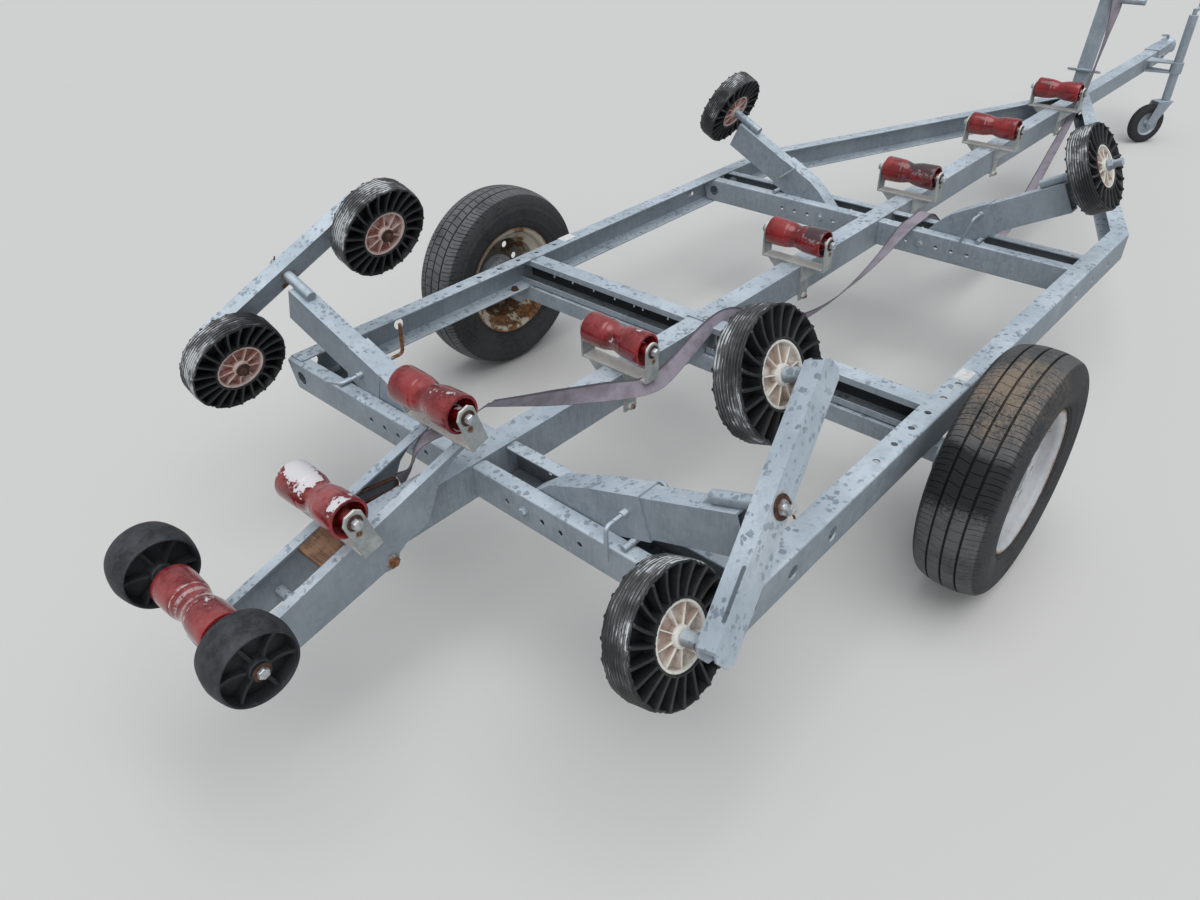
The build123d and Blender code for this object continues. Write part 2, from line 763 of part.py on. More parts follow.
with BuildPart() as keel_brackets:
    for name, x, z, slope, height, packing in rollers[3:]:
        with BuildSketch(across(x, 0, frame_top)):
            with Locations((0, bar_thick / 2)):
                Rectangle(2 * ear_half, bar_thick)
            for side in (1, -1):
                with Locations((side * (beam_side + bar_thick / 2), -(beam_height + cheek_drop) / 2)):
                    Rectangle(bar_thick, beam_height + cheek_drop)
        extrude(amount=bar_width / 2, both=True)
        for y in (ear_half, -ear_half + bar_thick):
            with BuildSketch(along(y, x, z)):
                with BuildLine():
                    Line((-bar_width / 2, 0), (-bar_width / 2, -height))
                    Line((-bar_width / 2, -height), (bar_width / 2, -height))
                    Line((bar_width / 2, -height), (bar_width / 2, 0))
                    ThreePointArc((bar_width / 2, 0), (0, bar_width / 2), (-bar_width / 2, 0))
                make_face()
            extrude(amount=bar_thick)
        for side in (1, -1):
            with BuildSketch(across(x - bar_width / 2 + 4, 0, frame_top)):
                with BuildLine():
                    Polyline(
                        (side * (beam_side + bar_thick - 1), 1),
                        (side * (ear_half - 20), 1),
                        (side * (beam_side + bar_thick - 1), -55),
                        close=True,
                    )
                make_face()
            extrude(amount=gusset_wall)
        reach = ear_half + bolt_over
        with BuildSketch(along(reach, x, z)):
            Circle(pin_radius)
        extrude(amount=2 * reach)
        for start in (reach, bar_thick + 3 - reach):
            with BuildSketch(along(start, x, z)):
                RegularPolygon(nut_radius, 6)
            extrude(amount=bar_thick + 3)
        low = frame_top - beam_height - cheek_drop / 2
        with BuildSketch(along(beam_side + bar_thick + 14, x, low)):
            Circle(under_bolt_radius)
        extrude(amount=2 * (beam_side + bar_thick + 14))
        for start in (beam_side + bar_thick + 8, -beam_side - bar_thick):
            with BuildSketch(along(start, x, low)):
                RegularPolygon(2 * under_bolt_radius, 6)
            extrude(amount=8)
keel_brackets.part.label = "keel_brackets"
export_step(keel_brackets.part, "parts/keel_brackets.step")

# End wheels: two crowned wheels on the rear bolt, outside the bracket ears, hollow with ribs at each face
end_wheel_half = 43.0
end_wheel_gap = 25.0
end_wheel_y = ear_half + end_wheel_gap + end_wheel_half
end_web_half = 9.0
end_rib_count = 8
end_rib_thick = 6.0
end_shell = 14.0
end_x, end_z = rollers[2][1:3]
crown = end_wheel_radius - end_shell
with BuildPart() as end_wheel_form:
    with BuildSketch(Plane.XZ):
        w = end_wheel_half
        with BuildLine():
            Polyline(
                (pin_radius + running_gap, -w),
                (22, -w),
                (22, -end_web_half),
                (crown, -end_web_half),
                (crown, -w),
                (end_wheel_radius - 7, -w),
                (end_wheel_radius - 2, 14 - w),
                (end_wheel_radius, 0),
                (end_wheel_radius - 2, w - 14),
                (end_wheel_radius - 7, w),
                (crown, w),
                (crown, end_web_half),
                (22, end_web_half),
                (22, w),
                (pin_radius + running_gap, w),
                close=True,
            )
        make_face()
    revolve(axis=Axis.Z)
    with BuildSketch(Plane.XY.offset(-w + 12)):
        with PolarLocations((crown + 22) / 2, end_rib_count):
            Rectangle(crown - 18, end_rib_thick)
    extrude(amount=2 * w - 24)
for side, sign in (("left", 1), ("right", -1)):
    spot = (axle_x + end_x, sign * end_wheel_y, end_z)
    with BuildPart(Plane(origin=spot, x_dir=(1, 0, 0), z_dir=(0, sign, 0))) as end_wheel:
        add(end_wheel_form.part)
    end_wheel.part.label = f"{side}_end_wheel"
    export_step(end_wheel.part, f"parts/{side}_end_wheel.step")

# Tilting cradle: two cheeks of bent plate on a bolt through the keel beam, tied by cross tubes
cradle_front = -966.0
cradle_rear = -1645.0
tie_radius = 14.0
pivot_head = 16.0
with BuildPart() as cradle:
    for y in (cradle_out, -cradle_out + cradle_wall):
        with BuildSketch(along(y)):
            with BuildLine():
                Polyline(
                    (cradle_rear, cradle_line(cradle_rear)),
                    (cradle_front, cradle_line(cradle_front)),
                    (cradle_front, cradle_line(cradle_front) - 14),
                    (-1034, 542),
                    (-1088, 496),
                    (-1132, 412),
                    (-1195, 398),
                    (cradle_pivot_x + 21, cradle_pivot_z + 6),
                    (cradle_pivot_x + 18, cradle_pivot_z - 14),
                    (cradle_pivot_x, cradle_pivot_z - 24),
                    (cradle_pivot_x - 22, cradle_pivot_z - 20),
                    (-1488, 306),
                    (cradle_rear + 15, 297),
                    close=True,
                )
            make_face()
            with Locations((cradle_pivot_x, cradle_pivot_z)):
                Circle(cradle_bolt_radius, mode=Mode.SUBTRACT)
        extrude(amount=cradle_wall)
    for y in (cradle_out, -cradle_out + cradle_flange):
        with BuildSketch(along(y)):
            with BuildLine():
                Polyline(
                    (cradle_rear, cradle_line(cradle_rear)),
                    (cradle_front, cradle_line(cradle_front)),
                    (cradle_front + 1, cradle_line(cradle_front) - 5),
                    (cradle_rear + 1, cradle_line(cradle_rear) - 5),
                    close=True,
                )
            make_face()
        extrude(amount=cradle_flange)
    with BuildSketch(along(cradle_out + 12, cradle_pivot_x, cradle_pivot_z)):
        Circle(cradle_bolt_radius)
    extrude(amount=2 * cradle_out + 24)
    for start in (cradle_out + 10, -cradle_out):
        with BuildSketch(along(start, cradle_pivot_x, cradle_pivot_z)):
            RegularPolygon(pivot_head, 6)
        extrude(amount=10)
    for tie_x, tie_z in ((-1440.0, 345.0), (-1600.0, 330.0)):
        with BuildSketch(along(cradle_out - cradle_wall, tie_x, tie_z)):
            Circle(tie_radius)
        extrude(amount=2 * (cradle_out - cradle_wall))
cradle.part.label = "cradle"
export_step(cradle.part, "parts/cradle.step")

# Wooden block clamped under the flanges below the second roller
block_x = -1345.0
block_long = 84.0
block_thick = 30.0
with BuildPart() as cradle_block:
    with BuildSketch(along(cradle_out - cradle_wall, block_x, cradle_line(block_x) - 6, cradle_slope)):
        with Locations((0, -block_thick / 2)):
            Rectangle(block_long, block_thick)
    extrude(amount=2 * (cradle_out - cradle_wall))
cradle_block.part.label = "cradle_block"
export_step(cradle_block.part, "parts/cradle_block.step")

# Coupling: a pressed ball head on the drawbar's nose, with its clamp lever and two cross bolts
head_radius = 50.0
ball_x = coupling_nose - head_radius
ball_radius = 25.0
socket_radius = ball_radius + 0.5
socket_low = frame_top - 44
socket_deep = 28.0
shoe_long = 155.0
shoe_rear = drawbar_front - shoe_long
shoe_wall = 6.0
shoe_drop = 58.0
lever_radius = 7.0
with BuildPart() as coupling:
    with BuildSketch(across(shoe_rear, 0, frame_top)):
        with Locations((0, (shoe_wall - shoe_drop) / 2)):
            Rectangle(beam_width + 2 * shoe_wall, shoe_wall + shoe_drop)
            Rectangle(beam_width, shoe_wall + shoe_drop, mode=Mode.SUBTRACT)
        with Locations((0, shoe_wall / 2)):
            Rectangle(beam_width, shoe_wall)
    extrude(amount=drawbar_front - shoe_rear)
    with BuildSketch(level(frame_top - shoe_drop)):
        with BuildLine():
            Polyline(
                (drawbar_front, -beam_side - shoe_wall),
                (drawbar_front, beam_side + shoe_wall),
                (ball_x - 10, head_radius - 16),
                (ball_x - 10, 16 - head_radius),
                close=True,
            )
        make_face()
    extrude(amount=shoe_drop + shoe_wall)
    with BuildSketch(Plane(origin=(axle_x + ball_x, 0, socket_low - 14), x_dir=(1, 0, 0), z_dir=(0, -1, 0))):
        with BuildLine():
            Polyline(
                (0, 0),
                (head_radius - 8, 0),
                (head_radius, 12),
                (head_radius, 42),
                (head_radius - 12, 68),
                (head_radius - 30, 80),
                (0, 84),
                close=True,
            )
        make_face()
    revolve(axis=Axis((axle_x + ball_x, 0, 0), (0, 0, 1)))
    with BuildSketch(level(socket_low - 60, ball_x)):
        Circle(socket_radius)
    extrude(amount=60 + socket_deep, mode=Mode.SUBTRACT)
    with BuildLine():
        FilletPolyline(
            (axle_x + ball_x - 20, 0, frame_top - 6),
            (axle_x + ball_x - 34, 0, frame_top + 38),
            (axle_x + ball_x - 190, 0, frame_top + 62),
            radius=16,
        )
    with BuildSketch(level(frame_top - 6, ball_x - 20)):
        Circle(lever_radius)
    sweep()
    for bolt_x in (shoe_rear + 45, drawbar_front - 40):
        for start in (beam_side + shoe_wall + 9, -beam_side - shoe_wall):
            with BuildSketch(along(start, bolt_x, frame_top - drawbar_height / 2)):
                RegularPolygon(nut_radius, 6)
            extrude(amount=9)
coupling.part.label = "coupling"
export_step(coupling.part, "parts/coupling.step")

# Winch post: a square tube at the junction, leaning a little forward, with a collar and a top plate
post_base_x = 3205.0
post_lean = 14.0
post_size = 60.0
post_wall = 4.0
post_length = 700.0
collar_height = 118.0
collar_thick = 10.0
post_up = Plane(
    origin=(axle_x + post_base_x, 0, frame_top),
    x_dir=(0, 1, 0),
    z_dir=(math.sin(math.radians(post_lean)), 0, math.cos(math.radians(post_lean))),
)
with BuildPart() as winch_post:
    with BuildSketch(post_up):
        Rectangle(post_size, post_size)
        Rectangle(post_size - 2 * post_wall, post_size - 2 * post_wall, mode=Mode.SUBTRACT)
    extrude(amount=post_length)
    with BuildSketch(post_up.offset(collar_height)):
        RectangleRounded(150, 118, 40)
        Rectangle(post_size, post_size, mode=Mode.SUBTRACT)
    extrude(amount=collar_thick)
    with BuildSketch(post_up.offset(post_length)):
        Rectangle(104, 74)
    extrude(amount=6)
    with BuildSketch(level(frame_top, post_base_x)):
        Rectangle(130, beam_width)
    extrude(amount=8)
    with BuildSketch(level(0, post_base_x)):
        Rectangle(300, 200)
    extrude(amount=frame_top, mode=Mode.SUBTRACT)
winch_post.part.label = "winch_post"
export_step(winch_post.part, "parts/winch_post.step")

# Winch: side plates on the rear face of the post, bored for the shaft
winch_height = 610.0
winch_plane = post_up.offset(winch_height)
drum_back = 85.0
winch_shaft_radius = 9.0
plate_half = 52.0
plate_wall = 6.0
drum_centre = winch_plane.from_local_coords(Vector(0, post_size / 2 + drum_back, 0))
drum_plane = Plane(origin=drum_centre, x_dir=(1, 0, 0), z_dir=(0, -1, 0))
with BuildPart() as winch_frame:
    with BuildSketch(winch_plane):
        with Locations((0, post_size / 2 + plate_wall / 2)):
            Rectangle(2 * plate_half + plate_wall, plate_wall)
        with Locations((plate_half, post_size / 2 + 65), (-plate_half, post_size / 2 + 65)):
            Rectangle(plate_wall, 130)
    extrude(amount=60, both=True)
    with BuildSketch(drum_plane):
        Circle(winch_shaft_radius + running_gap)
    extrude(amount=100, both=True, mode=Mode.SUBTRACT)
winch_frame.part.label = "winch_frame"
export_step(winch_frame.part, "parts/winch_frame.step")

# Winch drum with its wound strap, gear wheel and the crank on the right
drum_radius = 50.0
drum_half = 28.0
flange_radius = 56.0
gear_radius = 62.0
crank_reach = 170.0
crank_out = 80.0
grip_radius = 15.0
with BuildPart() as winch_drum:
    with BuildSketch(drum_plane):
        Circle(drum_radius)
    extrude(amount=drum_half, both=True)
    for start in (drum_half, -drum_half - 3):
        with BuildSketch(drum_plane.offset(start)):
            Circle(flange_radius)
        extrude(amount=3)
    with BuildSketch(drum_plane.offset(drum_half + 6)):
        Circle(gear_radius)
    extrude(amount=9)
    with BuildSketch(drum_plane.offset(-72)):
        Circle(winch_shaft_radius)
    extrude(amount=72 + crank_out + 8)
    with BuildSketch(drum_plane.offset(crank_out)):
        with Locations((0, -crank_reach / 2)):
            RectangleRounded(26, crank_reach + 26, 12)
    extrude(amount=8)
    with BuildSketch(drum_plane.offset(crank_out + 8)):
        with Locations((0, -crank_reach)):
            Circle(grip_radius)
    extrude(amount=100)
winch_drum.part.label = "winch_drum"
export_step(winch_drum.part, "parts/winch_drum.step")

# Bow stop: a rubber block with a notch, on top of the post
stop_half_width = 62.0
stop_back = 105.0
with BuildPart() as bow_stop:
    with BuildSketch(post_up.offset(post_length + 6)):
        with BuildLine():
            Polyline(
                (-stop_half_width, stop_back),
                (-stop_half_width, -22),
                (14 - stop_half_width, -36),
                (stop_half_width - 14, -36),
                (stop_half_width, -22),
                (stop_half_width, stop_back),
                (stop_half_width - 16, stop_back),
                (8, 34),
                (-8, 34),
                (16 - stop_half_width, stop_back),
                close=True,
            )
        make_face()
    extrude(amount=64)
bow_stop.part.label = "bow_stop"
export_step(bow_stop.part, "parts/bow_stop.step")

# Jockey wheel: an outrigger with the outer tube and its crank, the sliding leg, the swivel fork and the wheel
jockey_back = 335.0
jockey_x = drawbar_front - jockey_back
jockey_y = -195.0
jockey_trail = 90.0
jockey_turn = 145.0
jockey_radius = 110.0
jockey_tube_radius = 24.0
jockey_tube_wall = 4.0
swivel_radius = 12.0
outer_low = 246.0
outer_high = 700.0
clamp_half = 30.0
outrigger_wall = 8.0
jockey_crank = 95.0
crank_post = 34.0
crank_grip = 75.0
with BuildPart() as jockey_clamp:
    middle = frame_top - drawbar_height / 2
    with BuildSketch(level(middle - clamp_half, jockey_x, jockey_y)):
        Circle(jockey_tube_radius + 9)
    extrude(amount=2 * clamp_half)
    for rise in (clamp_half - outrigger_wall, -clamp_half):
        with BuildSketch(level(middle + rise, jockey_x, 0)):
            with BuildLine():
                Polyline(
                    (55, -beam_side - outrigger_wall),
                    (-55, -beam_side - outrigger_wall),
                    (-26, jockey_y),
                    (26, jockey_y),
                    close=True,
                )
            make_face()
        extrude(amount=outrigger_wall)
    with BuildSketch(along(-beam_side, jockey_x, middle)):
        Rectangle(120, 2 * clamp_half)
    extrude(amount=outrigger_wall)
    with BuildSketch(level(outer_low, jockey_x, jockey_y)):
        Circle(jockey_tube_radius)
    extrude(amount=outer_high - outer_low)
    with BuildSketch(level(outer_low - 1, jockey_x, jockey_y)):
        Circle(jockey_tube_radius - jockey_tube_wall)
    extrude(amount=outer_high - outer_low + 1 - jockey_tube_wall, mode=Mode.SUBTRACT)
    with BuildSketch(level(outer_high, jockey_x, jockey_y)):
        Circle(swivel_radius)
    extrude(amount=crank_post)
    with BuildSketch(along(jockey_y + 9, jockey_x, outer_high + crank_post - 9)):
        with Locations((jockey_crank / 2, 0)):
            RectangleRounded(jockey_crank + 18, 16, 7)
    extrude(amount=18)
    with BuildSketch(level(outer_high + crank_post - 9, jockey_x + jockey_crank - 6, jockey_y)):
        Circle(9)
    extrude(amount=crank_grip)
jockey_clamp.part.label = "jockey_clamp"
export_step(jockey_clamp.part, "parts/jockey_clamp.step")

fork_height = 232.0
fork_wall = 6.0
leg_low = fork_height + fork_wall + 0.3
leg_top = 680.0
leg_play = 0.3
with BuildPart() as jockey_leg:
    with BuildSketch(level(leg_low, jockey_x, jockey_y)):
        Circle(jockey_tube_radius - jockey_tube_wall - leg_play)
    extrude(amount=leg_top - leg_low)
jockey_leg.part.label = "jockey_leg"
export_step(jockey_leg.part, "parts/jockey_leg.step")

# Swivel fork: a plate on the leg's foot, and two cheeks down to the wheel's axle
turn = math.radians(jockey_turn)
trail_dir = Vector(math.cos(turn), math.sin(turn), 0)
spin_dir = Vector(-math.sin(turn), math.cos(turn), 0)
leg_foot = Vector(axle_x + jockey_x, jockey_y, 0)
hub_spot = leg_foot + trail_dir * jockey_trail + Vector(0, 0, jockey_radius)
fork_half = 33.0
fork_reach = fork_height - jockey_radius + fork_wall
axle_radius = 8.0
with BuildPart() as jockey_fork:
    with BuildSketch(Plane(origin=leg_foot + Vector(0, 0, fork_height), x_dir=trail_dir)):
        with Locations((20, 0)):
            Rectangle(92, 2 * fork_half + fork_wall)
    extrude(amount=fork_wall)
    for way in (-1, 1):
        spot = hub_spot + spin_dir * (way * fork_half)
        with BuildSketch(Plane(origin=spot, x_dir=trail_dir, z_dir=spin_dir * -1)):
            with BuildLine():
                Polyline(
                    (-20, -18),
                    (14, -18),
                    (22, 8),
                    (66 - jockey_trail, fork_reach),
                    (-26 - jockey_trail, fork_reach),
                    close=True,
                )
            make_face()
        extrude(amount=fork_wall / 2, both=True)
    with BuildSketch(Plane(origin=hub_spot, x_dir=trail_dir, z_dir=spin_dir)):
        Circle(axle_radius)
    extrude(amount=44, both=True)
    with BuildSketch(level(fork_height - 2, jockey_x, jockey_y)):
        Circle(swivel_radius)
    extrude(amount=4)
jockey_fork.part.label = "jockey_fork"
export_step(jockey_fork.part, "parts/jockey_fork.step")

with BuildPart() as jockey_wheel:
    with BuildSketch(Plane(origin=hub_spot, x_dir=spin_dir, z_dir=trail_dir)):
        with BuildLine():
            Polyline(
                (-25, axle_radius + running_gap),
                (-25, 19),
                (-10, 24),
                (-10, 58),
                (-19, 66),
                (-24, 84),
                (-22, 100),
                (-13, jockey_radius),
                (13, jockey_radius),
                (22, 100),
                (24, 84),
                (19, 66),
                (10, 58),
                (10, 24),
                (25, 19),
                (25, axle_radius + running_gap),
                close=True,
            )
        make_face()
    revolve(axis=Axis(hub_spot, spin_dir))
jockey_wheel.part.label = "jockey_wheel"
export_step(jockey_wheel.part, "parts/jockey_wheel.step")

# Winch strap: flat webbing, here as a thin tube along its route. The long run hangs from the drum over
# the front crossmember and along the beam; the tail hangs below the third roller, on the cradle.
strap_radius = 3.0
strap_run = [
    (3262, -8, 1030),
    (3280, -36, 972),
    (3255, -62, 885),
    (3185, -75, 765),
    (3112, -80, 640),
    (3062, -82, 545),
    (2990, -80, 470),
    (2860, -86, 385),
    (2675, -100, 290),
    (2430, -130, 208),
    (2190, -158, 145),
    (1960, -172, 112),
    (1720, -170, 138),
    (1500, -162, 225),
    (1330, -156, 350),
    (1228, -153, 440),
    (1160, -151, 484),
    (1088, -150, 472),
    (1010, -147, 470),
    (860, -131, 384),
    (660, -112, 322),
    (450, -92, 302),
    (260, -70, 352),
    (115, -57, 432),
    (22, -53, 474),
    (-72, -57, 466),
    (-165, -69, 446),
    (-290, -94, 434),
    (-400, -114, 442),
    (-545, -88, 486),
    (-715, -61, 538),
    (-890, -34, 598),
]
strap_tail = [
    (-897, -34, 597),
    (-936, -22, 582),
    (-985, -2, 561),
    (-1032, 26, 556),
    (-1058, 42, 528),
    (-1070, 45, 494),
    (-1088, 48, 470),
    (-1112, 50, 463),
]


def strap_arcs(route):
    """Radii of the corners of a route: as large as its two runs allow."""
    spots = [Vector(*spot) for spot in route]
    radii = []
    for before, here, after in zip(spots, spots[1:], spots[2:]):
        bend = math.radians((here - before).get_angle(after - here))
        radii.append(0.45 * min((here - before).length, (after - here).length) / math.tan(bend / 2))
    return radii


for name, route in (("winch_strap", strap_run), ("strap_tail", strap_tail)):
    spots = [Vector(axle_x + x, y, z) for x, y, z in route]
    start_face = Plane(origin=spots[0], z_dir=(spots[1] - spots[0]).normalized())
    with BuildPart() as strap:
        with BuildLine() as path:
            FilletPolyline(*spots, radius=strap_arcs(route))
        with BuildSketch(start_face):
            Circle(strap_radius)
        sweep()
    print(name, "length", round(sum(edge.length for edge in path.edges())), "radii", [round(r) for r in strap_arcs(route)])
    strap.part.label = name
    export_step(strap.part, f"parts/{name}.step")

# Strap hook: a worn oval snap link on the tail, beside the beam
hook_x = -1174.0
hook_z = 467.0
hook_y = 50.0
hook_half = 41.0
hook_bend = 15.0
hook_rod = 4.5
hook_slope = -8.0
with BuildPart() as strap_hook:
    hook_plane = along(hook_y, hook_x, hook_z, hook_slope)
    with BuildSketch(hook_plane):
        SlotCenterToCenter(2 * hook_half, 2 * (hook_bend + hook_rod))
        SlotCenterToCenter(2 * hook_half, 2 * (hook_bend - hook_rod), mode=Mode.SUBTRACT)
    extrude(amount=hook_rod, both=True)
strap_hook.part.label = "strap_hook"
export_step(strap_hook.part, "parts/strap_hook.step")
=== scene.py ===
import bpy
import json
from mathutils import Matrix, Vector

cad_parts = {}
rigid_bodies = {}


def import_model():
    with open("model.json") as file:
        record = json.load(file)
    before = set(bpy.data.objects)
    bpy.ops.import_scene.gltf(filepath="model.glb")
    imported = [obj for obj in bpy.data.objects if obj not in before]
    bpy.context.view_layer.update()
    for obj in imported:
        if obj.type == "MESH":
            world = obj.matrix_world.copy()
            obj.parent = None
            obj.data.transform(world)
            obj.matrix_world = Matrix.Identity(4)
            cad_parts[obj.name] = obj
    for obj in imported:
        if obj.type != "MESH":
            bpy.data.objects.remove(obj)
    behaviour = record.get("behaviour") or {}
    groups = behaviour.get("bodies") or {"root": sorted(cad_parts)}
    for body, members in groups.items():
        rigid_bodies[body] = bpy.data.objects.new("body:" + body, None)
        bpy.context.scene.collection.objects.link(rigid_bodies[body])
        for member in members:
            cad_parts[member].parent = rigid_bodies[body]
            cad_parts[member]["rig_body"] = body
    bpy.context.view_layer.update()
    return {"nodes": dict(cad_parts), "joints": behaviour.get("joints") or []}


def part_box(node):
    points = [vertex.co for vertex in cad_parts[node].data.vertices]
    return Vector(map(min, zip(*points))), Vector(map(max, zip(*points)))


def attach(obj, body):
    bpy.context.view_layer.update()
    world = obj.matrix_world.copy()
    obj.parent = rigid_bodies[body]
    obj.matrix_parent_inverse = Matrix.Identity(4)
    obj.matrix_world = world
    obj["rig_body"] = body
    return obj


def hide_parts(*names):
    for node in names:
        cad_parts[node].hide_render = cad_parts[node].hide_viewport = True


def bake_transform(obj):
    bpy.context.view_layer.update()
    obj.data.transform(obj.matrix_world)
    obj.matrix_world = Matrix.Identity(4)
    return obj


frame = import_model()

import json
import math

import bmesh
import bpy
import numpy as np
from mathutils import Matrix, Vector

scene = bpy.context.scene

# The yard: a plain pale floor under soft lamps, seen from behind and to the right of the trailer at the
# height of a standing person's eyes.
eye_place = Vector((-3.5764, -1.3883, 1.6831))
eye_yaw, eye_pitch, eye_roll = (math.radians(a) for a in (43.236, -35.713, -1.828))
lens_mm = 26.206
level_ahead = Vector((math.cos(eye_yaw), math.sin(eye_yaw), 0.0))
ahead = level_ahead * math.cos(eye_pitch) + Vector((0.0, 0.0, math.sin(eye_pitch)))
level_right = Vector((math.sin(eye_yaw), -math.cos(eye_yaw), 0.0))
straight_up = level_right.cross(ahead)
right = level_right * math.cos(eye_roll) + straight_up * math.sin(eye_roll)
upward = straight_up * math.cos(eye_roll) - level_right * math.sin(eye_roll)
eye = bpy.data.objects.new("eye", bpy.data.cameras.new("eye"))
eye.data.lens, eye.data.sensor_width, eye.data.clip_end = lens_mm, 36.0, 200.0
eye.matrix_world = Matrix.Translation(eye_place) @ Matrix((right, upward, -ahead)).transposed().to_4x4()
scene.collection.objects.link(eye)
scene.camera = eye
scene.view_settings.view_transform = "Standard"


class Wire:
    """One output of a material's node. Sums, products and powers of wires and numbers become Math nodes."""

    def __init__(self, finish, socket):
        self.finish, self.socket = finish, socket

    def maths(self, operation, *terms):
        settings = {"operation": operation}
        return self.finish.put("ShaderNodeMath", settings, dict(enumerate(terms)))

    def __add__(self, other):
        return self.maths("ADD", self, other)

    def __radd__(self, other):
        return self.maths("ADD", other, self)

    def __sub__(self, other):
        return self.maths("SUBTRACT", self, other)

    def __rsub__(self, other):
        return self.maths("SUBTRACT", other, self)

    def __mul__(self, other):
        return self.maths("MULTIPLY", self, other)

    def __rmul__(self, other):
        return self.maths("MULTIPLY", other, self)

    def __truediv__(self, other):
        return self.maths("DIVIDE", self, other)

    def __pow__(self, other):
        return self.maths("POWER", self, other)

    def __abs__(self):
        return self.maths("ABSOLUTE", self)

    def sine(self):
        return self.maths("SINE", self)


class Finish:
    """A material being mixed. put() adds one node: its type, its settings, then its sockets' values."""

    def __init__(self, name, **own):
        self.material = bpy.data.materials.new(name)
        self.material.use_nodes = True
        self.tree = self.material.node_tree
        self.shader = self.tree.nodes["Principled BSDF"]
        for socket, value in own.items():
            self.shader.inputs[socket.replace("_", " ")].default_value = value
        self.coords = self.put("ShaderNodeTexCoord", {}, {}, "Object")

    def put(self, kind, settings, sockets, out=0):
        node = self.tree.nodes.new(kind)
        for name, value in settings.items():
            setattr(node, name, value)
        for key, value in sockets.items():
            self.join(value, node.inputs[key])
        return Wire(self, node.outputs[out])

    def join(self, value, socket):
        if isinstance(value, Wire):
            self.tree.links.new(value.socket, socket)
        else:
            socket.default_value = value

    def drive(self, **sockets):
        for name, value in sockets.items():
            self.join(value, self.shader.inputs[name.replace("_", " ")])
        return self.material

    def colours(self, mask, dark, light):
        """Colour that runs from one to the other as the mask goes from 0 to 1."""
        start, end = (tone if isinstance(tone, Wire) else (*tone, 1.0) for tone in (dark, light))
        return self.put("ShaderNodeMix", {"data_type": "RGBA"}, {0: mask, 6: start, 7: end}, 2)

    def step(self, value, low, high, start=0.0, end=1.0):
        """Smooth step: start below low, end above high."""
        sockets = {0: value, 1: low, 2: high, 3: start, 4: end}
        return self.put("ShaderNodeMapRange", {"interpolation_type": "SMOOTHSTEP"}, sockets)

    def vector(self, operation, first, second, out=0):
        return self.put("ShaderNodeVectorMath", {"operation": operation}, {0: first, 1: second}, out)

    def stretched(self, x, y, z):
        """Coordinates times a factor along each axis, which squeezes a pattern there."""
        return self.vector("MULTIPLY", self.coords, (x, y, z))

    def cloud(self, scale, detail=3.0, rough=0.5, source=None):
        terms = {"Vector": source or self.coords, "Scale": scale, "Detail": detail, "Roughness": rough}
        return self.put("ShaderNodeTexNoise", {}, terms)

    def axis(self, name, source=None):
        return self.put("ShaderNodeSeparateXYZ", {}, {0: source or self.coords}, name)

    def facing(self):
        """Height part of the surface's own direction: 1 on top faces, 0 on upright ones, -1 below."""
        return self.axis("Z", self.put("ShaderNodeTexCoord", {}, {}, "Normal"))

    def relief(self, height, strength, distance):
        return self.put("ShaderNodeBump", {}, {"Strength": strength, "Distance": distance, "Height": height})

    def near(self, spots):
        """Mask that is 1 within each spot (x, y, z, radius) and fades to 0 past its ragged rim."""
        ragged = self.cloud(90.0, 4.0, 0.6) * 0.9 + self.cloud(22.0, 2.0) * 0.7
        mask = None
        for x, y, z, radius in spots:
            far = self.vector("DISTANCE", self.coords, (x, y, z), 1)
            one = self.step(far / radius + ragged, 1.2, 1.9, 1.0, 0.0)
            mask = one if mask is None else mask.maths("MAXIMUM", mask, one)
        return mask


def lamp(name, place, power, spread):
    """A far soft lamp that shines from a place toward the trailer's middle."""
    light = bpy.data.objects.new(name, bpy.data.lights.new(name, "SUN"))
    light.data.energy, light.data.angle = power, math.radians(spread)
    light.rotation_euler = (-Vector(place)).to_track_quat("-Z", "Y").to_euler()
    scene.collection.objects.link(light)


lamp("overhead", (-0.6, -1.2, 5.0), 1.75, 60.0)
lamp("from_behind", (-4.0, -2.5, 2.6), 0.65, 30.0)
sky = bpy.data.worlds.new("sky")
sky.use_nodes = True
scene.world = sky
sky_nodes = sky.node_tree.nodes
sky_nodes["Background"].inputs[0].default_value = (0.88, 0.94, 1.0, 1.0)
sky_nodes["Background"].inputs[1].default_value = 0.46
pale = sky_nodes.new("ShaderNodeBackground")
pale.inputs[0].default_value = (0.92, 0.93, 0.94, 1.0)
seen = sky_nodes.new("ShaderNodeLightPath")
either = sky_nodes.new("ShaderNodeMixShader")
sky.node_tree.links.new(seen.outputs["Is Camera Ray"], either.inputs[0])
sky.node_tree.links.new(sky_nodes["Background"].outputs[0], either.inputs[1])
sky.node_tree.links.new(pale.outputs[0], either.inputs[2])
sky.node_tree.links.new(either.outputs[0], sky_nodes["World Output"].inputs[0])

floor_half = 40.0
floor_mesh = bpy.data.meshes.new("yard_floor")
corners = [(x * floor_half, y * floor_half, 0.0) for x, y in ((-1, -1), (1, -1), (1, 1), (-1, 1))]
floor_mesh.from_pydata(corners, [], [(0, 1, 2, 3)])
yard_floor = bpy.data.objects.new("yard_floor", floor_mesh)
scene.collection.objects.link(yard_floor)
pale_floor = Finish("pale_floor", Base_Color=(0.60, 0.59, 0.575, 1.0), Roughness=0.85)
floor_mesh.materials.append(pale_floor.material)


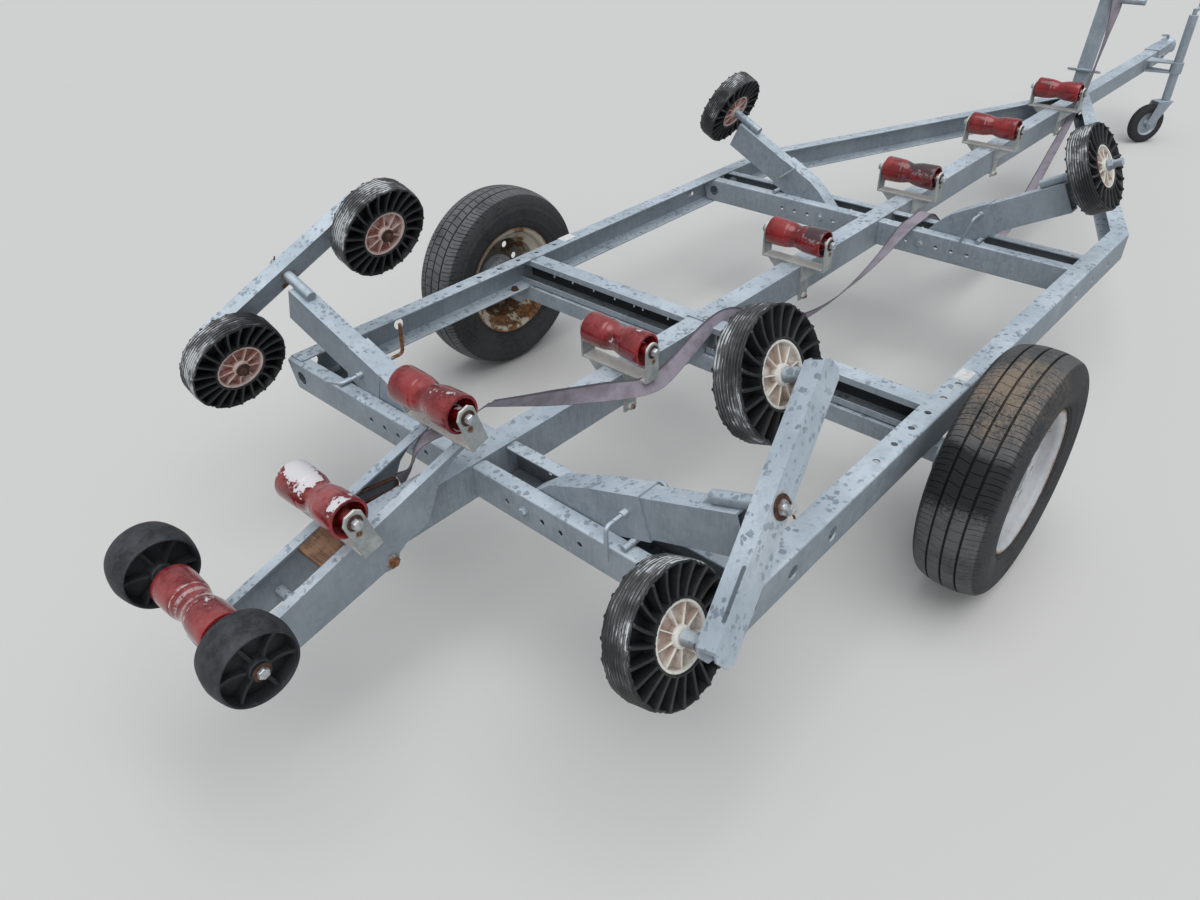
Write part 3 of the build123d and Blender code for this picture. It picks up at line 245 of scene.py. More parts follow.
# Winch strap: 50 mm polyester webbing, wound on the drum and hung loose from it: down to near the ground,
# up over the front crossmember, along the right side of the beam and on behind the third roller.
webbing_wide, webbing_thick = 0.050, 0.0018
bow_height, bow_pace, pinch, pinch_pace = 0.0022, 9.0, 0.02, 31.0
axle_x = sum(corner.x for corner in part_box("left_tyre")) / 2


def net(grid, wrap=(False, False), reach=(1.0, 1.0), caps=False):
    """Points of a surface in rows and columns, joined into four-sided faces. Each corner's map place is its
    row's and its column's share of the reach, so a closed row or column runs on past its last point."""
    rows, columns = grid.shape[:2]
    i, j = np.meshgrid(np.arange(rows - (not wrap[0])), np.arange(columns - (not wrap[1])), indexing="ij")
    steps = [(i, j), (i + 1, j), (i + 1, j + 1), (i, j + 1)]
    faces = np.stack([(a % rows) * columns + b % columns for a, b in steps], -1).reshape(-1, 4)
    ends = (rows if wrap[0] else rows - 1, columns if wrap[1] else columns - 1)
    places = np.stack([np.stack([a / ends[0] * reach[0], b / ends[1] * reach[1]], -1) for a, b in steps], -2)
    faces, places = faces.tolist(), places.reshape(-1, 2)
    if caps:
        faces += [list(range(columns)), list(range((rows - 1) * columns, rows * columns))]
        places = np.vstack([places, np.zeros((2 * columns, 2))])
    return grid.reshape(-1, 3), faces, places


def made(name, nets, material, body, smooth=35.0, edge=0.0, wall=0.0):
    """A piece of the trailer from one or more nets: merged into one mesh with its faces turned outward and
    its edges kept sharp past the smooth angle, with a plate's wall or an eased edge where given."""
    start, points, faces, places = 0, [], [], []
    for net_points, net_faces, net_places in nets:
        points.append(net_points)
        faces += [[k + start for k in face] for face in net_faces]
        places.append(net_places)
        start += len(net_points)
    mesh = bpy.data.meshes.new(name)
    mesh.from_pydata(np.vstack(points).tolist(), [], faces)
    mesh.uv_layers.new(name="UVMap").data.foreach_set("uv", np.vstack(places).astype(np.float32).ravel())
    form = bmesh.new()
    form.from_mesh(mesh)
    bmesh.ops.remove_doubles(form, verts=form.verts, dist=1e-6)
    if not wall:
        bmesh.ops.recalc_face_normals(form, faces=form.faces)
    form.to_mesh(mesh)
    form.free()
    return finished(name, mesh, material, body, smooth, edge, wall)


def finished(name, mesh, material, body, smooth, edge, wall=0.0):
    piece = bpy.data.objects.new(name, mesh)
    scene.collection.objects.link(piece)
    mesh.materials.clear()
    mesh.materials.append(material)
    mesh.polygons.foreach_set("use_smooth", [True] * len(mesh.polygons))
    if wall:
        solid = piece.modifiers.new("wall", "SOLIDIFY")
        solid.thickness, solid.offset = wall, -1.0
    if edge:
        eased = piece.modifiers.new("eased", "BEVEL")
        eased.width, eased.segments, eased.limit_method = edge, 2, "ANGLE"
        eased.angle_limit, eased.harden_normals = math.radians(32.0), True
        eased.use_clamp_overlap = True
    mesh.set_sharp_from_angle(angle=math.radians(smooth))
    if body:
        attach(piece, body)
    return piece


def webbing_line(route):
    """The smooth line of the webbing: points read from a curve of order 3 through the route's controls."""
    curve = bpy.data.curves.new("route", "CURVE")
    curve.dimensions, curve.resolution_u = "3D", 14
    spline = curve.splines.new("NURBS")
    spline.points.add(len(route) - 1)
    for point, (x, y, z, _) in zip(spline.points, route):
        point.co = (axle_x + x / 1000, y / 1000, z / 1000, 1.0)
    spline.order_u, spline.use_endpoint_u = 3, True
    holder = bpy.data.objects.new("route", curve)
    line = np.array([v.co for v in bpy.data.meshes.new_from_object(holder).vertices], float)
    bpy.data.objects.remove(holder)
    return line


def webbing(name, route, material, body):
    """A flat closed band along the smooth line. Each section is level across the line, turned about it by
    the route's lie in degrees (0 flat, 90 on edge), and bowed by a shallow cosine across its width."""
    line = webbing_line(route)
    ahead = np.gradient(line, axis=0)
    ahead /= np.linalg.norm(ahead, axis=1)[:, None]
    count = len(route)
    share = np.linspace(0, count - 2, len(line))
    at = np.concatenate([[0], np.arange(1, count - 1) - 0.5, [count - 2]])
    lie = np.radians(np.interp(share, at, [row[3] for row in route]))
    across = np.cross((0.0, 0.0, 1.0), ahead)
    for k in np.flatnonzero(np.linalg.norm(across, axis=1) < 0.05):
        across[k] = (0.0, 1.0, 0.0)
    across /= np.linalg.norm(across, axis=1)[:, None]
    face = np.cross(ahead, across)
    wide = across * np.cos(lie)[:, None] + face * np.sin(lie)[:, None]
    proud = np.cross(ahead, wide)
    u = np.concatenate([np.linspace(-1, 1, 11), np.linspace(1, -1, 11)])
    side = np.concatenate([np.full(11, 0.5), np.full(11, -0.5)])
    along = np.cumsum(np.r_[0, np.linalg.norm(np.diff(line, axis=0), axis=1)])
    bow = bow_height * np.sin(along * bow_pace)[:, None] * np.cos(u * np.pi / 2)[None, :]
    half = webbing_wide / 2 * (1 - pinch * np.sin(along * pinch_pace))
    height = side[None, :] * webbing_thick + bow
    aside = wide[:, None] * (u[None, :] * half[:, None])[..., None]
    grid = line[:, None] + aside + proud[:, None] * height[..., None]
    piece = made(name, [net(grid, (False, True), (along[-1], 2.0), caps=True)], material, body, 60.0)
    return piece, line, float(along[-1])


cloth = Finish("grey_lilac_webbing", Roughness=0.9)
map_place = cloth.put("ShaderNodeTexCoord", {}, {}, "UV")
run, girth = cloth.axis("X", map_place), cloth.axis("Y", map_place)
across_share = girth.maths("PINGPONG", girth, 1.0)
weave = (run * 900.0).sine() * (girth * 160.0).sine()
edge_dark = cloth.step(abs(across_share - 0.5), 0.36, 0.44)
soiled = cloth.step(cloth.cloud(14.0, 4.0, 0.6), 0.42, 0.66)
ribbed = cloth.step((across_share * 70.0).sine(), -0.4, 0.9)
base = cloth.colours(soiled, (0.335, 0.298, 0.350), (0.225, 0.200, 0.232))
base = cloth.colours(ribbed * 0.22, base, (0.15, 0.132, 0.152))
base = cloth.colours(edge_dark * 0.75, base, (0.055, 0.048, 0.058))
cloth.drive(Base_Color=base, Normal=cloth.relief(weave, 0.35, 0.0006))

# millimetres ahead of the axle, to the left and up, and the webbing's lie in degrees
strap_run = [
    (3262, -8, 1030, 0),
    (3280, -36, 972, 0),
    (3255, -62, 885, 30),
    (3185, -75, 765, 62),
    (3112, -80, 640, 70),
    (3062, -82, 545, 60),
    (2990, -80, 470, 44),
    (2860, -86, 385, 30),
    (2675, -100, 290, 26),
    (2430, -130, 208, 20),
    (2190, -158, 145, 12),
    (1960, -172, 112, 6),
    (1720, -170, 138, 4),
    (1500, -162, 225, 2),
    (1330, -156, 350, 0),
    (1228, -153, 440, 0),
    (1160, -151, 484, 0),
    (1088, -150, 472, 0),
    (1010, -147, 470, 0),
    (860, -131, 384, 30),
    (660, -112, 322, 48),
    (450, -92, 302, 60),
    (260, -70, 352, 74),
    (115, -57, 432, 90),
    (22, -53, 474, 90),
    (-72, -57, 466, 104),
    (-165, -69, 446, 118),
    (-290, -94, 434, 124),
    (-400, -114, 442, 126),
    (-545, -88, 486, 112),
    (-715, -61, 538, 72),
    (-890, -34, 598, 42),
]
strap_tail = [
    (-892, -34, 597, 42),
    (-936, -22, 582, 34),
    (-985, -2, 561, 16),
    (-1032, 26, 556, 0),
    (-1058, 42, 528, 10),
    (-1070, 45, 494, 30),
    (-1088, 48, 470, 62),
    (-1112, 50, 463, 84),
]
for name, route, length, far_end in (
    ("winch_strap", strap_run, 4.74, "object"),
    ("strap_tail", strap_tail, 0.302, "object"),
):
    piece, line, measured = webbing(f"{name}_webbing", route, cloth.material, None)
    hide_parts(name)
    if name == "strap_tail":
        start, end = (axle_x - 0.985, -0.002, 0.561), (axle_x - 1.070, 0.045, 0.494)
        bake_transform(piece)
    else:
        start, end = (axle_x - 0.400, -0.114, 0.442), (axle_x - 0.890, -0.034, 0.598)
        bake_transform(piece)
    print(name, "measures", round(measured, 3))


# Side rails: channels rolled from 5 mm steel and hot-dip galvanised, open side inward, bent in to the
# drawbar. They are drilled for brackets along both flanges; wet blotches and dull spangle lie on top.
def drilled(rows, columns, holes, sides=16):
    """Flat sheet on a grid of lines, with round holes. A plain cell is one face; a cell with a hole (row
    place, column place, radius) is four, each from one side of the cell to a quarter of the hole."""
    grid = np.stack(np.meshgrid(rows, columns, indexing="ij"), -1).reshape(-1, 2)
    width = len(columns)

    def cell(s, t):
        return int(np.searchsorted(rows, s)) - 1, int(np.searchsorted(columns, t)) - 1

    inside = {cell(s, t): (s, t, r) for s, t, r in holes}
    quarter = sides // 4
    angles = np.radians(-135 + np.arange(sides) * 360 / sides)
    points, faces, start = [grid], [], len(grid)
    for i in range(len(rows) - 1):
        for j in range(width - 1):
            corners = [i * width + j, (i + 1) * width + j, (i + 1) * width + j + 1, i * width + j + 1]
            if (i, j) not in inside:
                faces.append(corners)
                continue
            s, t, r = inside[(i, j)]
            points.append(np.stack([s + r * np.cos(angles), t + r * np.sin(angles)], -1))
            for k in range(4):
                rim = [start + (k * quarter + m) % sides for m in range(quarter, -1, -1)]
                faces.append([corners[k], corners[(k + 1) % 4], *rim])
            start += sides
    return np.vstack(points), faces


def channel(rows, holes, base, inward, section, flip):
    """A rolled section carried along a path: rows are places along it, with a base point and an inward
    direction at each, and the section's columns give how far in and how high each of its lines lies."""
    girth, depth, height = section
    flat, faces = drilled(rows, girth, holes)
    s, t = flat[:, 0], flat[:, 1]
    deep = np.interp(t, girth, depth)
    place = [np.interp(s, rows, base[:, k]) + np.interp(s, rows, inward[:, k]) * deep for k in (0, 1)]
    points = np.stack([*place, np.interp(t, girth, height)], -1)
    if flip:
        faces = [face[::-1] for face in faces]
    places = np.vstack([flat[face] for face in faces])
    return points, faces, places


def section_of(flange, tall, low, bend_radius):
    """Girth, depth and height of a channel's lines: top flange, bend, web, bend, bottom flange."""
    turn = np.radians(np.linspace(0, 90, 5))
    corner_in, corner_up = bend_radius * (1 - np.sin(turn)), bend_radius * (1 - np.cos(turn))
    depth = np.r_[flange, corner_in, corner_in[::-1], flange]
    height = np.r_[tall, tall - corner_up, (corner_up + 0.0)[::-1], 0.0] + low
    girth = np.r_[0, np.cumsum(np.hypot(np.diff(depth), np.diff(height)))]
    return girth, depth, height


def galvanised(name, spots=(), streak=1.0, hollow=(), faces_up=(0.25, 0.75), gouge=None):
    """Old hot-dip zinc: round drops and grey-blue blotches on top faces, which are painted bright as if lit
    from above, dull upright ones with fine streaks, faces below painted darker as shade, rust in the given
    spots, and painted shade inside a hollow (its middle ahead, half depth, low, high, how dark). A face
    counts as a top one between the two values of its upward lean. A gouge is a dark line: its two ends and
    half width."""
    zinc = Finish(name, Metallic=0.30, Specular_IOR_Level=0.35)
    cell = {"Vector": zinc.coords, "Scale": 75.0}
    spangle = zinc.put("ShaderNodeTexVoronoi", {"feature": "F1"}, cell, "Color")
    flake = zinc.axis("X", spangle)
    # painted light: this mask picks the top faces, which are painted brighter than upright ones
    top = zinc.step(zinc.facing(), *faces_up)
    ripple = {"Vector": zinc.coords, "Scale": 120.0, "Detail": 2.0}
    wobble = zinc.put("ShaderNodeTexNoise", {}, ripple, "Color")
    bent = zinc.vector("ADD", zinc.vector("MULTIPLY", wobble, (0.014, 0.014, 0.014)), zinc.coords)
    drop = {"Vector": bent, "Scale": 62.0}
    far = zinc.put("ShaderNodeTexVoronoi", {"feature": "F1"}, drop, "Distance")
    size = zinc.axis("Y", zinc.put("ShaderNodeTexVoronoi", {"feature": "F1"}, drop, "Color"))
    patches = zinc.step(zinc.cloud(16.0, 3.0, 0.6), 0.36, 0.60)
    reach = size * size * 0.36 + patches * 0.22
    wet = zinc.step(far - reach, -0.03, 0.05, 1.0, 0.0) * (0.35 + 0.65 * patches)
    damp = zinc.step(zinc.cloud(30.0, 3.0, 0.6), 0.50, 0.62)
    fine = zinc.cloud(160.0, 3.0, 0.65)
    lines = zinc.cloud(1.0, 3.0, 0.6, zinc.stretched(210.0, 210.0, 14.0))
    broad = zinc.cloud(5.0, 3.0, 0.55)
    bright = zinc.colours(zinc.step(broad, 0.35, 0.65), (0.46, 0.535, 0.60), (0.60, 0.67, 0.73))
    bright = zinc.colours(zinc.step(fine, 0.35, 0.7) * 0.30, bright, (0.39, 0.455, 0.515))
    bright = zinc.colours(wet * 0.80, bright, (0.215, 0.262, 0.312))
    bright = zinc.colours(damp * (1.0 - wet) * 0.30, bright, (0.34, 0.395, 0.45))
    upright = zinc.colours(flake, (0.235, 0.275, 0.312), (0.300, 0.340, 0.382))
    upright = zinc.colours(zinc.step(lines, 0.42, 0.72) * 0.40 * streak, upright, (0.165, 0.195, 0.225))
    upright = zinc.colours(zinc.step(broad, 0.45, 0.70) * 0.45, upright, (0.38, 0.425, 0.47))
    # painted shade: faces turned downward are darkened
    under = zinc.step(zinc.facing(), -0.7, -0.2, 1.0, 0.0)
    upright = zinc.colours(under * 0.5, upright, (0.20, 0.20, 0.195))
    # painted light from above: top faces take the bright colour, upright ones the dull one
    skin = zinc.colours(top, upright, bright)
    # painted shade: the inside of each hollow is darkened toward black
    for middle, half, low, high, dark in hollow:
        within = zinc.step(abs(zinc.axis("X") - middle), half - 0.0015, half, 1.0, 0.0)
        within = within * zinc.step(zinc.axis("Z"), low, low + 0.002)
        within = within * zinc.step(zinc.axis("Z"), high - 0.002, high, 1.0, 0.0)
        skin = zinc.colours(within * dark, skin, (0.014, 0.015, 0.017))
    if gouge:
        first, second, half = np.array(gouge[0]), np.array(gouge[1]), gouge[2]
        run = second - first
        off = zinc.vector("SUBTRACT", zinc.coords, tuple(first))
        share = zinc.vector("DOT_PRODUCT", off, tuple(run / (run @ run)), 1)
        share = zinc.put("ShaderNodeClamp", {}, {0: share})
        foot = zinc.put("ShaderNodeVectorMath", {"operation": "SCALE"}, {0: tuple(run), "Scale": share})
        away = zinc.vector("DISTANCE", off, foot, 1)
        line = zinc.step(away + fine * 0.003, half * 0.8 + 0.0010, half * 1.1 + 0.0025, 1.0, 0.0)
        skin = zinc.colours(line * 0.80, skin, (0.060, 0.072, 0.085))
    rough = 0.50 + 0.16 * flake - 0.14 * wet * top
    grain = zinc.relief(fine * 0.6 + lines * 0.4, 0.22, 0.0012)
    if not spots:
        return zinc.drive(Base_Color=skin, Roughness=rough, Normal=grain)
    rust = zinc.near(spots)
    brown = zinc.colours(zinc.step(fine, 0.35, 0.65), (0.085, 0.030, 0.014), (0.26, 0.115, 0.045))
    skin = zinc.colours(rust, skin, brown)
    rough, metal = rough + 0.25 * rust, 0.30 - 0.30 * rust
    return zinc.drive(Base_Color=skin, Roughness=rough, Metallic=metal, Normal=grain)


zinc_steel = galvanised("galvanised_steel")
rail_low, rail_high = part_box("side_rails")
rail_wall, rail_flange, rail_bend = 0.005, 0.060, 0.008
bend_x, bend_lean, beam_side = 1.440, math.radians(21.5), 0.035
rail_section = section_of(rail_flange, rail_high.z - rail_low.z, rail_low.z, rail_bend)
rail_rear, rail_out = rail_low.x - axle_x, rail_high.y
straight = bend_x - rail_rear
slanted = (rail_out - beam_side) / math.sin(bend_lean)
tan_half = math.tan(bend_lean / 2)
flange_pitch = [-0.342 + 0.089 * k for k in range(6)]
low_pitch = [0.298 + 0.089 * k for k in range(5)]
web_row = rail_section[0][5] + 0.052 - rail_bend
flange_row = 0.031
low_row = rail_section[0][-1] - 0.014
# place ahead of the axle, row round the section, radius
rail_holes = [(x, flange_row, 0.0085) for x in flange_pitch]
rail_holes += [(x, low_row, 0.006) for x in low_pitch]
rail_holes += [(-0.8905, web_row - 0.006, 0.020), (-0.735, web_row, 0.017), (-0.576, web_row, 0.018)]
rail_holes += [(x, web_row + 0.004, 0.0085) for x in (0.951, 1.103, 1.259)]
stops = {rail_rear, 0.7, bend_x - 0.012}
for x, row, r in rail_holes:
    stops |= {x - r - 0.004, x + r + 0.004}
stops = sorted(stops)
stops = [x for k, x in enumerate(stops) if k == 0 or x - stops[k - 1] > 0.0004]
past_bend = [straight, straight + 0.012, straight + 0.6, straight + slanted]
rows = np.array([x - rail_rear for x in stops] + past_bend)
for side, sign in (("left", 1), ("right", -1)):
    base, inward = [], []
    for s in rows:
        beyond = max(0.0, s - straight)
        forward = min(rail_rear + s, bend_x) + beyond * math.cos(bend_lean)
        base.append((axle_x + forward, sign * (rail_out - beyond * math.sin(bend_lean))))
        if s < straight - 1e-6:
            inward.append((0.0, -sign))
        elif s < straight + 1e-6:
            inward.append((-tan_half, -sign))
        elif s < rows[-1] - 1e-6:
            inward.append((-math.sin(bend_lean), -sign * math.cos(bend_lean)))
        else:
            inward.append((-1.0 / math.sin(bend_lean), 0.0))
    bored = [(x - rail_rear, row, r) for x, row, r in rail_holes]
    shape = channel(rows, bored, np.array(base), np.array(inward), rail_section, sign < 0)
    rail = made(f"{side}_rail", [shape], zinc_steel, "chassis", 40.0, 0.0012, rail_wall)
    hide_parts("side_rails")


# Crossmembers for the arms: a pair of channels, their open sides toward each other, in two halves between
# beam and rail. The top flange is nicked at the beam; bolt heads and spare holes show on the webs.
member_holes = (0.149, 0.264, 0.321, 0.379)
bolt_out, bolt_up, port_out = 0.205, 0.412, 0.712
pair_half, member_flange, member_bend, member_wall = 0.0725, 0.040, 0.007, 0.005
hole_radius, port_radius, hole_margin, port_margin = 0.007, 0.020, 0.011, 0.024


def turned(profile, count, start=0.0):
    """Surface of revolution about the local z axis: rows of (radius, height) carried round a full turn."""
    angle = start + np.arange(count) * 2 * np.pi / count
    r, h = np.array(profile, float).T
    return np.stack([np.outer(np.cos(angle), r), np.outer(np.sin(angle), r), np.tile(h, (count, 1))], -1)


def placed(points, origin, axis, across=(1.0, 0.0, 0.0)):
    """Local points put at an origin, their z along the axis and their x as near across as that allows."""
    z = np.array(axis, float) / np.linalg.norm(axis)
    x = np.array(across, float) - z * np.dot(across, z)
    if np.linalg.norm(x) < 1e-3:
        x = np.cross((0.0, 1.0, 0.0), z)
    x /= np.linalg.norm(x)
    frame_axes = np.stack([x, np.cross(z, x), z])
    return np.asarray(points) @ frame_axes + np.array(origin, float)


def bolt_head(origin, axis, flats=0.018, tall=0.0075, washer=0.0125, turn=0.0):
    """Six-sided head with a chamfered crown on a thin round washer, as two nets. The head's sides are a
    hexagon whose upper edge is drawn in by a tenth."""
    corner, foot = flats / math.sqrt(3.0), 0.0016
    sunk = 0.94 * tall
    rings = [(0.0, 0.0), (1.0, 0.0), (1.0, 0.82 * tall), (0.90, tall), (0.35, sunk), (0.0, sunk)]
    head = turned([(corner * k, h + foot) for k, h in rings], 6, turn)
    disc = turned([(0.0, 0.0), (washer, 0.0), (washer, 0.0012), (washer - 0.0006, foot), (0.0, foot)], 24)
    return [net(placed(part, origin, axis), (True, False)) for part in (head, disc)]


member_length = rail_out - rail_wall - beam_side
for name, x in (("rear_crossmember", -0.8905), ("front_crossmember", 1.0945)):
    low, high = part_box(name)
    shapes, heads = [], []
    section = section_of(member_flange, high.z - low.z, low.z, member_bend)
    web = section[0][5] + (high.z - bolt_up) - member_bend
    for facing in (-1, 1):
        for sign in (-1, 1):
            edges = [(y, hole_margin) for y in member_holes] + [(port_out, port_margin)]
            stops = [0.0, 0.006] + [y - beam_side + way * margin for y, margin in edges for way in (-1, 1)]
            stops.append(member_length)
            base = np.array([(axle_x + x + facing * pair_half, sign * (beam_side + s)) for s in stops])
            inward = np.tile((-facing, 0.0), (len(stops), 1))
            holes = [(y - beam_side, web, hole_radius) for y in member_holes]
            holes += [(port_out - beam_side, web, port_radius)]
            points, faces, places = channel(np.array(stops), holes, base, inward, section, facing * sign > 0)
            limit = rail_out - rail_wall - np.maximum(0.0, low.z + 0.031 - points[:, 2])
            points[:, 1] = sign * np.minimum(np.abs(points[:, 1]), limit)
            nick = (np.abs(points[:, 1]) < beam_side + 0.001) & (points[:, 2] > high.z - 0.001)
            nick &= np.abs(points[:, 0] - (axle_x + x)) < 0.040
            points[nick, 0] += facing * 0.011
            shapes.append((points, faces, places))
            out = (axle_x + x + facing * pair_half, sign * bolt_out, bolt_up)
            heads += bolt_head(out, (facing, 0, 0), 0.019, 0.0075, 0.014, 0.4 * sign)
    # painted shade: the inside of the channel pair is darkened toward black
    inside = (axle_x + x, pair_half - 0.001, low.z + 0.003, high.z - 0.003, 0.62)
    hollow_shaded_zinc = galvanised(f"{name}_zinc", (), 1.0, (inside,))
    member = made(f"{name}_channels", shapes, hollow_shaded_zinc, "chassis", 40.0, 0.0010, member_wall)
    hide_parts(name)
    bolts = made(f"{name}_bolts", heads, zinc_steel, "chassis", 30.0)


# Beam, drawbar, post and the other welded tubes keep the CAD's own faces: the loose triangles are merged
# into whole faces, and every edge is eased as a rolled tube's or a sheared plate's is.
def eased_copy(node, material, edge, label="skin", smooth=38.0, rides=True):
    """A copy of a CAD part with its triangles merged into flat faces and its edges eased."""
    source = frame["nodes"][node]
    mesh = source.data.copy()
    form = bmesh.new()
    form.from_mesh(mesh)
    bmesh.ops.remove_doubles(form, verts=form.verts, dist=2e-6)
    bmesh.ops.dissolve_limit(form, angle_limit=math.radians(0.5), verts=form.verts, edges=form.edges)
    form.to_mesh(mesh)
    form.free()
    piece = finished(f"{node}_{label}", mesh, material, source["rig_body"] if rides else None, smooth, edge)
    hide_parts(node)
    return piece


for node, edge in (("keel_beam", 0.004), ("drawbar", 0.004), ("axle_beam", 0.003)):
    eased_copy(node, zinc_steel, edge)
low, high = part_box("axle_crossmember")
# painted shade: the axle channel's hollow is darkened almost to black
inside = (axle_x - 0.015, 0.0290, low.z + 0.004, high.z - 0.004, 0.93)
axle_shaded_zinc = galvanised("axle_channel_zinc", (), 1.0, (inside,))
eased_copy("axle_crossmember", axle_shaded_zinc, 0.0015)


# Arms for the hull wheels: tapered tubes on the crossmember bolts, with inner tubes held by bent-rod
# handles. The left rear handle in front has lost its zinc and is brown with rust.
arm_spots = [(axle_x - 0.797, 0.427, 0.530 + 0.020 * k, 0.020) for k in range(6)]
arm_spots += [(axle_x - 0.822, 0.4315, 0.528, 0.020)]
arm_zinc = galvanised("arm_galvanised", arm_spots, 0.7)
for node, edge in (("support_arms", 0.0035), ("arm_tubes", 0.0035)):
    eased_copy(node, arm_zinc, edge)


# Rockers: box bars on the ends of the rear arms that carry two hull wheels each and tip to follow the hull:
# a channel closed by a plate on its inner side, the wheels' pins welded through both.
spin = {joint["name"]: joint for joint in frame["joints"]}


def points_of(piece):
    places = np.zeros(len(piece.data.vertices) * 3)
    piece.data.vertices.foreach_get("co", places)
    return places.reshape(-1, 3)


# ahead, outward, above and radius of the small rust spots
small_spots = ((-0.012, 0.020, -0.040, 0.013), (0.050, 0.016, 0.050, 0.012), (-0.235, 0.016, -0.16, 0.010))
for side in ("right", "left"):
    x, y, z = spin[f"{side}_rocker_tilt"]["pos_m"]
    out = spin[f"{side}_rocker_tilt"]["axis"]
    ends = [np.array(spin[f"{side}_{end}_hull_wheel_spin"]["pos_m"]) for end in ("aft", "fore")]
    rocker_spots = [(x + out[0] * 0.018, y + out[1] * 0.018, z + out[2] * 0.018, 0.026)]
    rocker_spots += [(x + a, y + out[1] * b, z + c, radius) for a, b, c, radius in small_spots]
    rocker_spots += [(*(at - np.array(out) * 0.046).tolist(), 0.021) for at in ends]
    along = (ends[1] - ends[0]) / np.linalg.norm(ends[1] - ends[0])
    away = np.array(out) * (1 if (out[1] > 0) == (side == "left") else -1)
    over = np.cross(away, along) * (1 if np.cross(away, along)[2] > 0 else -1)
    mark = None
    if side == "right":
        face_line = np.array((x, y, z)) + away * 0.009 + over * 0.030
        mark = [face_line + along * -0.225, face_line + along * -0.130, 0.0048]
    # faces count as top ones from a lower lean here, so more of the rocker takes the painted light from above
    rocker_zinc = galvanised(f"{side}_rocker_zinc", rocker_spots, 0.6, (), (-0.15, 0.60), mark)
    bar = eased_copy(f"{side}_rocker", rocker_zinc, 0.0022)
    form = points_of(bar)
    for at in ends:
        depth = (form - at) @ away
        spot = at + depth[:, None] * away
        inner = (depth < -0.0428) & (np.linalg.norm(form - spot, axis=1) < 0.03)
        drawn = at + np.maximum(depth, -0.0570)[:, None] * away + (form - spot) * 0.60
        form[inner] = drawn[inner]
    bar.data.vertices.foreach_set("co", form.ravel())
    half, deep, nip = 0.295, 0.030, 0.014
    outline = [(half - nip, -deep), (half, nip - deep), (half, deep - nip), (half - nip, deep)]
    outline += [(-a, b) for a, b in reversed(outline)]
    plate_faces = (-0.0278, -0.0238)
    plate = np.array([[(a, b, h) for a, b in outline] for h in plate_faces])
    cover = net(placed(plate, (x, y, z), away, along), (False, True), caps=True)
    body = spin[f"{side}_rocker_tilt"]["child"]
    closed_by = made(f"{side}_rocker_plate", [cover], rocker_zinc, body, 30.0, 0.0012)


# Roller brackets: U-bent flat bar, zinc gone dull and off-white, with rust where the roller's bolt bears.
def dull_zinc(name, spots):
    """Off-white zinc with chalky patches, top faces painted paler as painted light, and rust in the given
    spots.
    """
    zinc = Finish(name, Metallic=0.15, Specular_IOR_Level=0.3)
    fine, broad = zinc.cloud(140.0, 4.0, 0.65), zinc.cloud(18.0, 4.0, 0.6)
    # top faces: chalk and painted light from above, paler than the upright faces' plain grey
    top = zinc.step(zinc.facing(), 0.1, 0.6)
    plain = zinc.colours(zinc.step(broad, 0.38, 0.62), (0.30, 0.32, 0.32), (0.44, 0.46, 0.45))
    chalk = zinc.colours(zinc.step(fine + broad, 0.85, 1.15), (0.62, 0.62, 0.58), (0.78, 0.77, 0.72))
    skin = zinc.colours(top, plain, chalk)
    skin = zinc.colours(zinc.step(fine, 0.50, 0.68) * 0.4, skin, (0.21, 0.22, 0.22))
    rust = zinc.near(spots)
    brown = zinc.colours(zinc.step(fine, 0.35, 0.65), (0.10, 0.036, 0.016), (0.30, 0.14, 0.055))
    skin, grain = zinc.colours(rust, skin, brown), zinc.relief(fine, 0.25, 0.001)
    return zinc.drive(Base_Color=skin, Roughness=0.55 + 0.25 * rust, Normal=grain)


roller_names = [joint["name"][:-5] for joint in frame["joints"] if "roller" in joint["name"]]
ear_out, on_cradle = 0.119, ("keel_roller_2", "keel_roller_3", "end_roller")
for node, keep in (("cradle_brackets", True), ("keel_brackets", False)):
    spots = []
    for name in roller_names:
        x, y, z = spin[f"{name}_spin"]["pos_m"]
        if (name in on_cradle) == keep:
            spots += [(x, side * ear_out, z, 0.019) for side in (1, -1)]
            spots += [(x + 0.004, -ear_out, z - 0.032, 0.010)]
            spots += [(x, side * 0.055, 0.3505, 0.011) for side in (-1, 1)]
    piece = eased_copy(node, dull_zinc(f"{node}_zinc", spots), 0.0016)
    form = points_of(piece)
    for name in roller_names:
        x, y, z = spin[f"{name}_spin"]["pos_m"]
        limit = ear_out + (0.1145 if name == "end_roller" else 0.0045)
        past = (np.abs(form[:, 1]) > limit) & (np.hypot(form[:, 0] - x, form[:, 2] - z) < 0.03)
        form[past] = (form[past] - (x, 0, z)) * (0.62, 1, 0.62) + (x, 0, z)
    piece.data.vertices.foreach_set("co", form.ravel())


# Cradle: two cheeks of bent galvanised plate on a rusty bolt through the beam's end, with a worn block of
# wood clamped below the second roller.
pivot = spin["cradle_tilt"]["pos_m"]
cradle_spots = [(pivot[0], 0.084 * side, pivot[2], 0.024) for side in (1, -1)]
eased_copy("cradle", galvanised("cradle_zinc", cradle_spots, 0.8), 0.0018)
wood = Finish("worn_wood", Roughness=0.8)
grain = wood.cloud(1.0, 4.0, 0.6, wood.stretched(300.0, 18.0, 300.0))
tone = wood.colours(wood.step(grain, 0.35, 0.65), (0.115, 0.060, 0.035), (0.24, 0.135, 0.080))
tone = wood.colours(wood.step(wood.cloud(30.0, 3.0), 0.45, 0.6) * 0.6, tone, (0.33, 0.19, 0.115))
wood.drive(Base_Color=tone, Normal=wood.relief(grain, 0.5, 0.001))
eased_copy("cradle_block", wood.material, 0.003)


